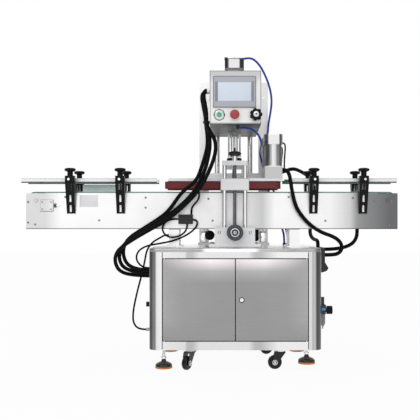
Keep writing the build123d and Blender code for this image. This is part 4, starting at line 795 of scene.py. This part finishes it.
cable("head_air_tube", HEAD_TUBE, AIR_RADIUS, "blue_tube", "air_tubes",
      bend=("head", ROOT, tuple(at(190, -230, 1152)), tuple(at(285, 168, 1020))))


# Levelling feet

FOOT_X = 343            # from the cabinet's middle
FOOT_Y = 232
RAISED_FOOT = 22        # the front right one is screwed up off the floor
STUD_TOP = 97


def foot(name, x, y, lift):
    """A pad, a pressed dome with its ball joint, a stud and its lock nuts."""
    pad = bmesh.new()
    add_lathe(pad, [(0, 0), (38, 0), (41, 1.5), (41, 4), (39.6, 5), (41, 6), (41, 8.6), (39, 9), (0, 9)],
              at(x, y, lift), steps=64)
    pad = piece(f"{name}_pad", pad, "orange", ROOT)
    dome = bmesh.new()
    add_lathe(
        dome,
        [
            (0, 9), (40.5, 9), (40.5, 15), (39, 19), (34, 23.5), (27, 27.5), (20, 30), (15, 32),
            (12, 35), (10.5, 38), (10.5, 41), (0, 41),
        ],
        at(x, y, lift), steps=64,
    )
    dome = piece(f"{name}_dome", dome, "dark_chrome", ROOT)
    stud = bmesh.new()
    top = STUD_TOP - lift
    nut = [(0, top - 9), (13.5, top - 9), (13.5, top - 1), (12.5, top), (0, top)]
    add_lathe(
        stud,
        [
            (0, 40), (9, 41), (12, 44), (13.4, 48), (13.4, 52), (12, 56), (9, 59), (7.5, 60.5), (7, 62),
            (7, top - 9), (0, top - 9),
        ],
        at(x, y, lift), steps=40,
    )
    add_lathe(stud, nut, at(x, y, lift), steps=6)
    stud = piece(f"{name}_stud", stud, "chrome", ROOT)
    for part in (pad, dome, stud):
        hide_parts("levelling_feet")


for foot_name, side_x, side_y, foot_lift in (
    ("front_left_foot", -1, -1, 0),
    ("front_right_foot", 1, -1, RAISED_FOOT),
    ("rear_left_foot", -1, 1, 0),
    ("rear_right_foot", 1, 1, 0),
):
    foot(foot_name, CAPPING_X + side_x * FOOT_X, side_y * FOOT_Y, foot_lift)


# Castor hubs

CASTER_TRAIL = 28
CHEEK_FACE = 18.05      # outer face of the fork's cheeks, from the wheel's middle
WHEEL_HEIGHT = 33.3


def caster_hubs(name, kingpin_x, kingpin_y, heading):
    """A bright ring and an axle nut on both cheeks of a castor's fork."""
    trail = Vector((cos(radians(heading)), sin(radians(heading)), 0))
    hubs = bmesh.new()
    for side in (-1, 1):
        outwards = side * Vector((-trail.y, trail.x, 0))
        place = at(kingpin_x, kingpin_y, WHEEL_HEIGHT) + (CASTER_TRAIL * trail + CHEEK_FACE * outwards) * MM
        add_lathe(hubs, [(9, 0), (12.6, 0), (12.6, 0.8), (11.6, 1.4), (9, 1.4)], place, outwards, 40)
        add_hex_bolt(hubs, place + 1.5 * MM * outwards, outwards, 8, 4)
    piece(f"{name}_hubs", hubs, "machined", f"{name}_fork")


for caster_name, caster_x, caster_y, caster_heading in (
    ("front_left", -89, -255, 242),
    ("front_right", 345, -255, 180),
    ("rear_left", -72, 140, 180),
    ("rear_right", 328, 140, 180),
):
    caster_hubs(caster_name, caster_x, caster_y, caster_heading)


# Operator panel

SCREEN_X = CAPPING_X - 4.5
SCREEN_Z = 1313
BEZEL_FRONT = HEAD_FRONT - 6
BUTTON_Z = 1205
START_X = CAPPING_X - 76
STOP_X = CAPPING_X - 4
KNOB_X = CAPPING_X + 96
KNOB_FRONT = HEAD_FRONT - 30


def front_ring(name, profile, place, steps, finish_name, body):
    """A turned ring that faces the operator."""
    ring = bmesh.new()
    add_lathe(ring, profile, place, (0, -1, 0), steps)
    piece(name, ring, finish_name, body)


def display():
    """The display's glass and the darker bars at both of its sides."""
    glass = bmesh.new()
    add_box(glass, (SCREEN_X - 78, BEZEL_FRONT + 0.2, SCREEN_Z - 43),
            (SCREEN_X + 78, BEZEL_FRONT + 0.9, SCREEN_Z + 45), 0.3)
    piece("display_glass", glass, "display", "head")
    bars = bmesh.new()
    for side in (-1, 1):
        left, right = sorted((SCREEN_X + side * 79, SCREEN_X + side * 91))
        add_box(bars, (left, BEZEL_FRONT - 0.6, SCREEN_Z - 46),
                (right, BEZEL_FRONT + 0.4, SCREEN_Z + 48), 0.4)
    piece("bezel_bars", bars, "bezel_side", "head")


display()
front_ring("start_ring", [(15.5, 0), (25, 0), (25, 2.5), (23, 5), (18, 7), (15.5, 7)],
           at(START_X, HEAD_FRONT, BUTTON_Z), 8, "machined", "head")
# a thin black ring round the start button: painted shadow as a piece
front_ring("start_shade_ring", [(25, 0), (27.5, 0), (27.5, 1.5), (25, 1.5)],
           at(START_X, HEAD_FRONT, BUTTON_Z), 8, "black", "head")
front_ring("stop_collar", [(9.5, 0), (20, 0), (20, 3), (18, 6.5), (9.5, 6.5)],
           at(STOP_X, HEAD_FRONT, BUTTON_Z), 32, "chrome", "head")
front_ring("knob_hub", [(4, 0), (13.5, 0), (13.5, 2), (12, 3.4), (6, 4.2), (4, 4.2)],
           at(KNOB_X, KNOB_FRONT, BUTTON_Z), 40, "machined", "panel_knob")


# Fasteners and small fittings

SIDE_PLATE = 90             # outer faces of the conveyor's side plates, from its centreline
CONVEYOR_BOLTS = (
    (-904, 801), (-904, 698), (-869, 689), (-719, 826), (-549, 709), (-317, 823), (-317, 773),
    (-3, 817), (18, 708), (398, 826), (582, 707), (719, 821), (828, 806), (913, 803), (856, 767),
    (902, 686),
)
BRACKETS_X = (-688, -440, 521, 768)
BRACKET_FACE = 102
BRACKET_SCREW = 108
BRACKET_BOLTS = ((778, 2), (828, 11))       # height, and how far each stands out of its plate
GUIDE_BARS_X = (CAPPING_X - 76, CAPPING_X + 76)
GUIDE_BAR_END = 166         # the bolts sit on the fixed bars that the clamp frames slide along
GUIDE_BAR_BOLT = 8
POST_FACE = 190             # front faces of the brackets that hold the support posts


def conveyor_fasteners():
    """The bolts in both side plates, the tension plate's screws and the bare plate."""
    bolts = bmesh.new()
    for x, z in CONVEYOR_BOLTS:
        for side in (-1, 1):
            add_hex_bolt(bolts, at(x, side * SIDE_PLATE, z), (0, side, 0), 5.5, 3)
    for x in (-833, -790):
        for z in (765, 801):
            add_cap_screw(bolts, at(x, -SIDE_PLATE - 5, z), (0, -1, 0), 3.5, 2)
    piece("conveyor_bolts", bolts, "zinc", ROOT)
    plate = bmesh.new()
    add_box(plate, (-647, -SIDE_PLATE - 1, 776), (-555, -SIDE_PLATE, 836), 0.4)
    piece("bare_plate", plate, "white", ROOT)


def side_fasteners(side, side_name):
    """The bolts in the guide bars' ends, and the rail brackets' screws with the slots they sit in."""
    bar_bolts = bmesh.new()
    for x in GUIDE_BARS_X:
        add_hex_bolt(bar_bolts, at(x, side * GUIDE_BAR_END, WIDTH_AXIS_Z), (0, side, 0), GUIDE_BAR_BOLT, 6)
    piece(f"{side_name}_frame_bolts", bar_bolts, "machined", ROOT)
    screws = bmesh.new()
    for x in BRACKETS_X:
        for z, reach in BRACKET_BOLTS:
            add_cap_screw(screws, at(x, side * BRACKET_SCREW, z), (0, side, 0), 4.8, reach)
            near, far = sorted((side * (BRACKET_FACE + reach), side * (BRACKET_FACE + 1 + reach)))
            add_box(screws, (x - 4.6, near, z - 27), (x + 4.6, far, z + 7))
    piece(f"{side_name}_bracket_screws", screws, "machined", ROOT)


def post_fittings():
    """The dark clamps beside the support posts and the bright faces of their brackets."""
    clamps = bmesh.new()
    add_lathe(clamps, [(0, 0), (26, 0), (26, 20), (22, 24), (14, 25), (14, 29), (8, 31), (0, 31)],
              at(0, POST_FACE, 629), (0, -1, 0), 48)
    add_box(clamps, (234, POST_FACE - 22, 606), (262, POST_FACE, 661), 3)
    add_lathe(clamps, [(0, 0), (14, 0), (14, 18), (11, 22), (0, 22)], at(248, POST_FACE, 610), (0, -1, 0), 32)
    piece("post_clamps", clamps, "black", ROOT)
    faces = bmesh.new()
    for left, right in ((-50, -19), (270, 302)):
        add_box(faces, (left, POST_FACE - 6, 592), (right, POST_FACE, 664), 1.5)
    piece("post_bracket_faces", faces, "chrome", ROOT)


conveyor_fasteners()
side_fasteners(-1, "front")
side_fasteners(1, "rear")
post_fittings()
front_ring("lock_ring", [(9.4, 0.05), (13, 0.05), (13, 0.6), (12.2, 1.1), (9.4, 1.1)],
           at(157.75, CAB_FRONT - 4, 334), 40, "black", "door_lock")
tie = bmesh.new()
add_box(tie, (-26, -259, 1176), (6, -197, 1184), 2)
piece("harness_tie", tie, "black", "head")


# Light and backdrop

# The studio's level against the sideways part of a direction, from -1 at the left to 1 at the right
STUDIO_STOPS = (
    (-1.0, 0.35), (-0.92, 0.14), (-0.76, 0.12), (-0.62, 1.0), (0.14, 1.0), (0.22, 0.55), (0.34, 0.55),
    (0.42, 1.0), (0.62, 1.0), (0.76, 0.12), (0.92, 0.14), (1.0, 0.35),
)
STUDIO_STRENGTH = 1.25
REAR_DIMMING = 0.25         # the studio's loss of light behind the machine
REARWARD = (-0.1, 0.5)      # backward part of a direction over which it turns to the rear
WHITE = (1.0, 1.0, 1.0, 1.0)
FLOOR_GREY = 0.82
CAMERA_SHARE = 0.93         # how much of the floor is plain white to the camera, metal and glass
FLOOR_REACH = 12
FLOOR_DROP = 0.0006


def seen_rays(tree):
    """Two sockets: 1 for the camera's rays, and 1 for the rays that metal and glass show."""
    paths = add_node(tree, "ShaderNodeLightPath")
    glossy, through = paths.outputs["Is Glossy Ray"], paths.outputs["Is Transmission Ray"]
    return paths.outputs["Is Camera Ray"], math_node(tree, "MAXIMUM", glossy, through)


def world_light():
    """A white backdrop for the camera, metal and glass, in a studio that darkens towards the sides."""
    world = bpy.data.worlds.new("studio")
    bpy.context.scene.world = world
    world.use_nodes = True
    tree = world.node_tree
    tree.nodes.clear()
    coordinates = add_node(tree, "ShaderNodeTexCoord")
    direction = add_node(tree, "ShaderNodeSeparateXYZ")
    tree.links.new(coordinates.outputs["Generated"], direction.inputs[0])
    level = grey_ramp(tree, direction.outputs["X"], STUDIO_STOPS, 1.0)
    rearward = map_range(tree, direction.outputs["Y"], REARWARD)
    dimming = math_node(tree, "MULTIPLY", rearward, STUDIO_STRENGTH * REAR_DIMMING)
    studio = add_node(tree, "ShaderNodeBackground")
    tree.links.new(level, studio.inputs["Color"])
    tree.links.new(math_node(tree, "SUBTRACT", STUDIO_STRENGTH, dimming), studio.inputs["Strength"])
    backdrop = add_node(tree, "ShaderNodeBackground", Color=WHITE, Strength=1.0)
    camera_rays, mirrored_rays = seen_rays(tree)
    mirrored_share = math_node(tree, "MULTIPLY", mirrored_rays, math_node(tree, "MULTIPLY", rearward, level))
    mix = add_node(tree, "ShaderNodeMixShader")
    tree.links.new(math_node(tree, "MAXIMUM", camera_rays, mirrored_share), mix.inputs[0])
    tree.links.new(studio.outputs[0], mix.inputs[1])
    tree.links.new(backdrop.outputs[0], mix.inputs[2])
    output = add_node(tree, "ShaderNodeOutputWorld")
    tree.links.new(mix.outputs[0], output.inputs["Surface"])


def area_light(name, place, target, size, watts):
    """A rectangular lamp at a place, turned to a target, both in metres."""
    data = bpy.data.lights.new(name, "AREA")
    data.shape = "RECTANGLE"
    data.size, data.size_y = size
    data.energy = watts
    lamp = bpy.data.objects.new(name, data)
    lamp.location = place
    lamp.rotation_euler = (Vector(target) - Vector(place)).to_track_quat("-Z", "Y").to_euler()
    bpy.context.scene.collection.objects.link(lamp)


def floor():
    """A pale floor that keeps the machine's shadow and is nearly white to the camera."""
    mesh = bpy.data.meshes.new("floor")
    corners = [(x * FLOOR_REACH, y * FLOOR_REACH, 0) for x, y in ((-1, -1), (1, -1), (1, 1), (-1, 1))]
    mesh.from_pydata(corners, [], [(0, 1, 2, 3)])
    plane = bpy.data.objects.new("floor", mesh)
    plane.location = (0, 0, -FLOOR_DROP)
    bpy.context.scene.collection.objects.link(plane)
    made = bpy.data.materials.new("floor")
    made.use_nodes = True
    tree = made.node_tree
    shader = tree.nodes["Principled BSDF"]
    shader.inputs["Base Color"].default_value = (FLOOR_GREY, FLOOR_GREY, FLOOR_GREY, 1.0)
    shader.inputs["Roughness"].default_value = 0.9
    white = add_node(tree, "ShaderNodeEmission", Color=WHITE, Strength=1.0)
    seen = math_node(tree, "MULTIPLY", math_node(tree, "MAXIMUM", *seen_rays(tree)), CAMERA_SHARE)
    mix = add_node(tree, "ShaderNodeMixShader")
    tree.links.new(seen, mix.inputs[0])
    tree.links.new(shader.outputs[0], mix.inputs[1])
    tree.links.new(white.outputs[0], mix.inputs[2])
    tree.links.new(mix.outputs[0], tree.nodes["Material Output"].inputs["Surface"])
    mesh.materials.append(made)


world_light()
floor()
area_light("key", (-1.6, -3.2, 3.2), (0, 0, 0.8), (2.2, 2.2), 12)
area_light("top", (0, 0.3, 3.6), (0, 0, 0.8), (2.6, 1.6), 10)
bpy.context.scene.view_settings.view_transform = "Standard"
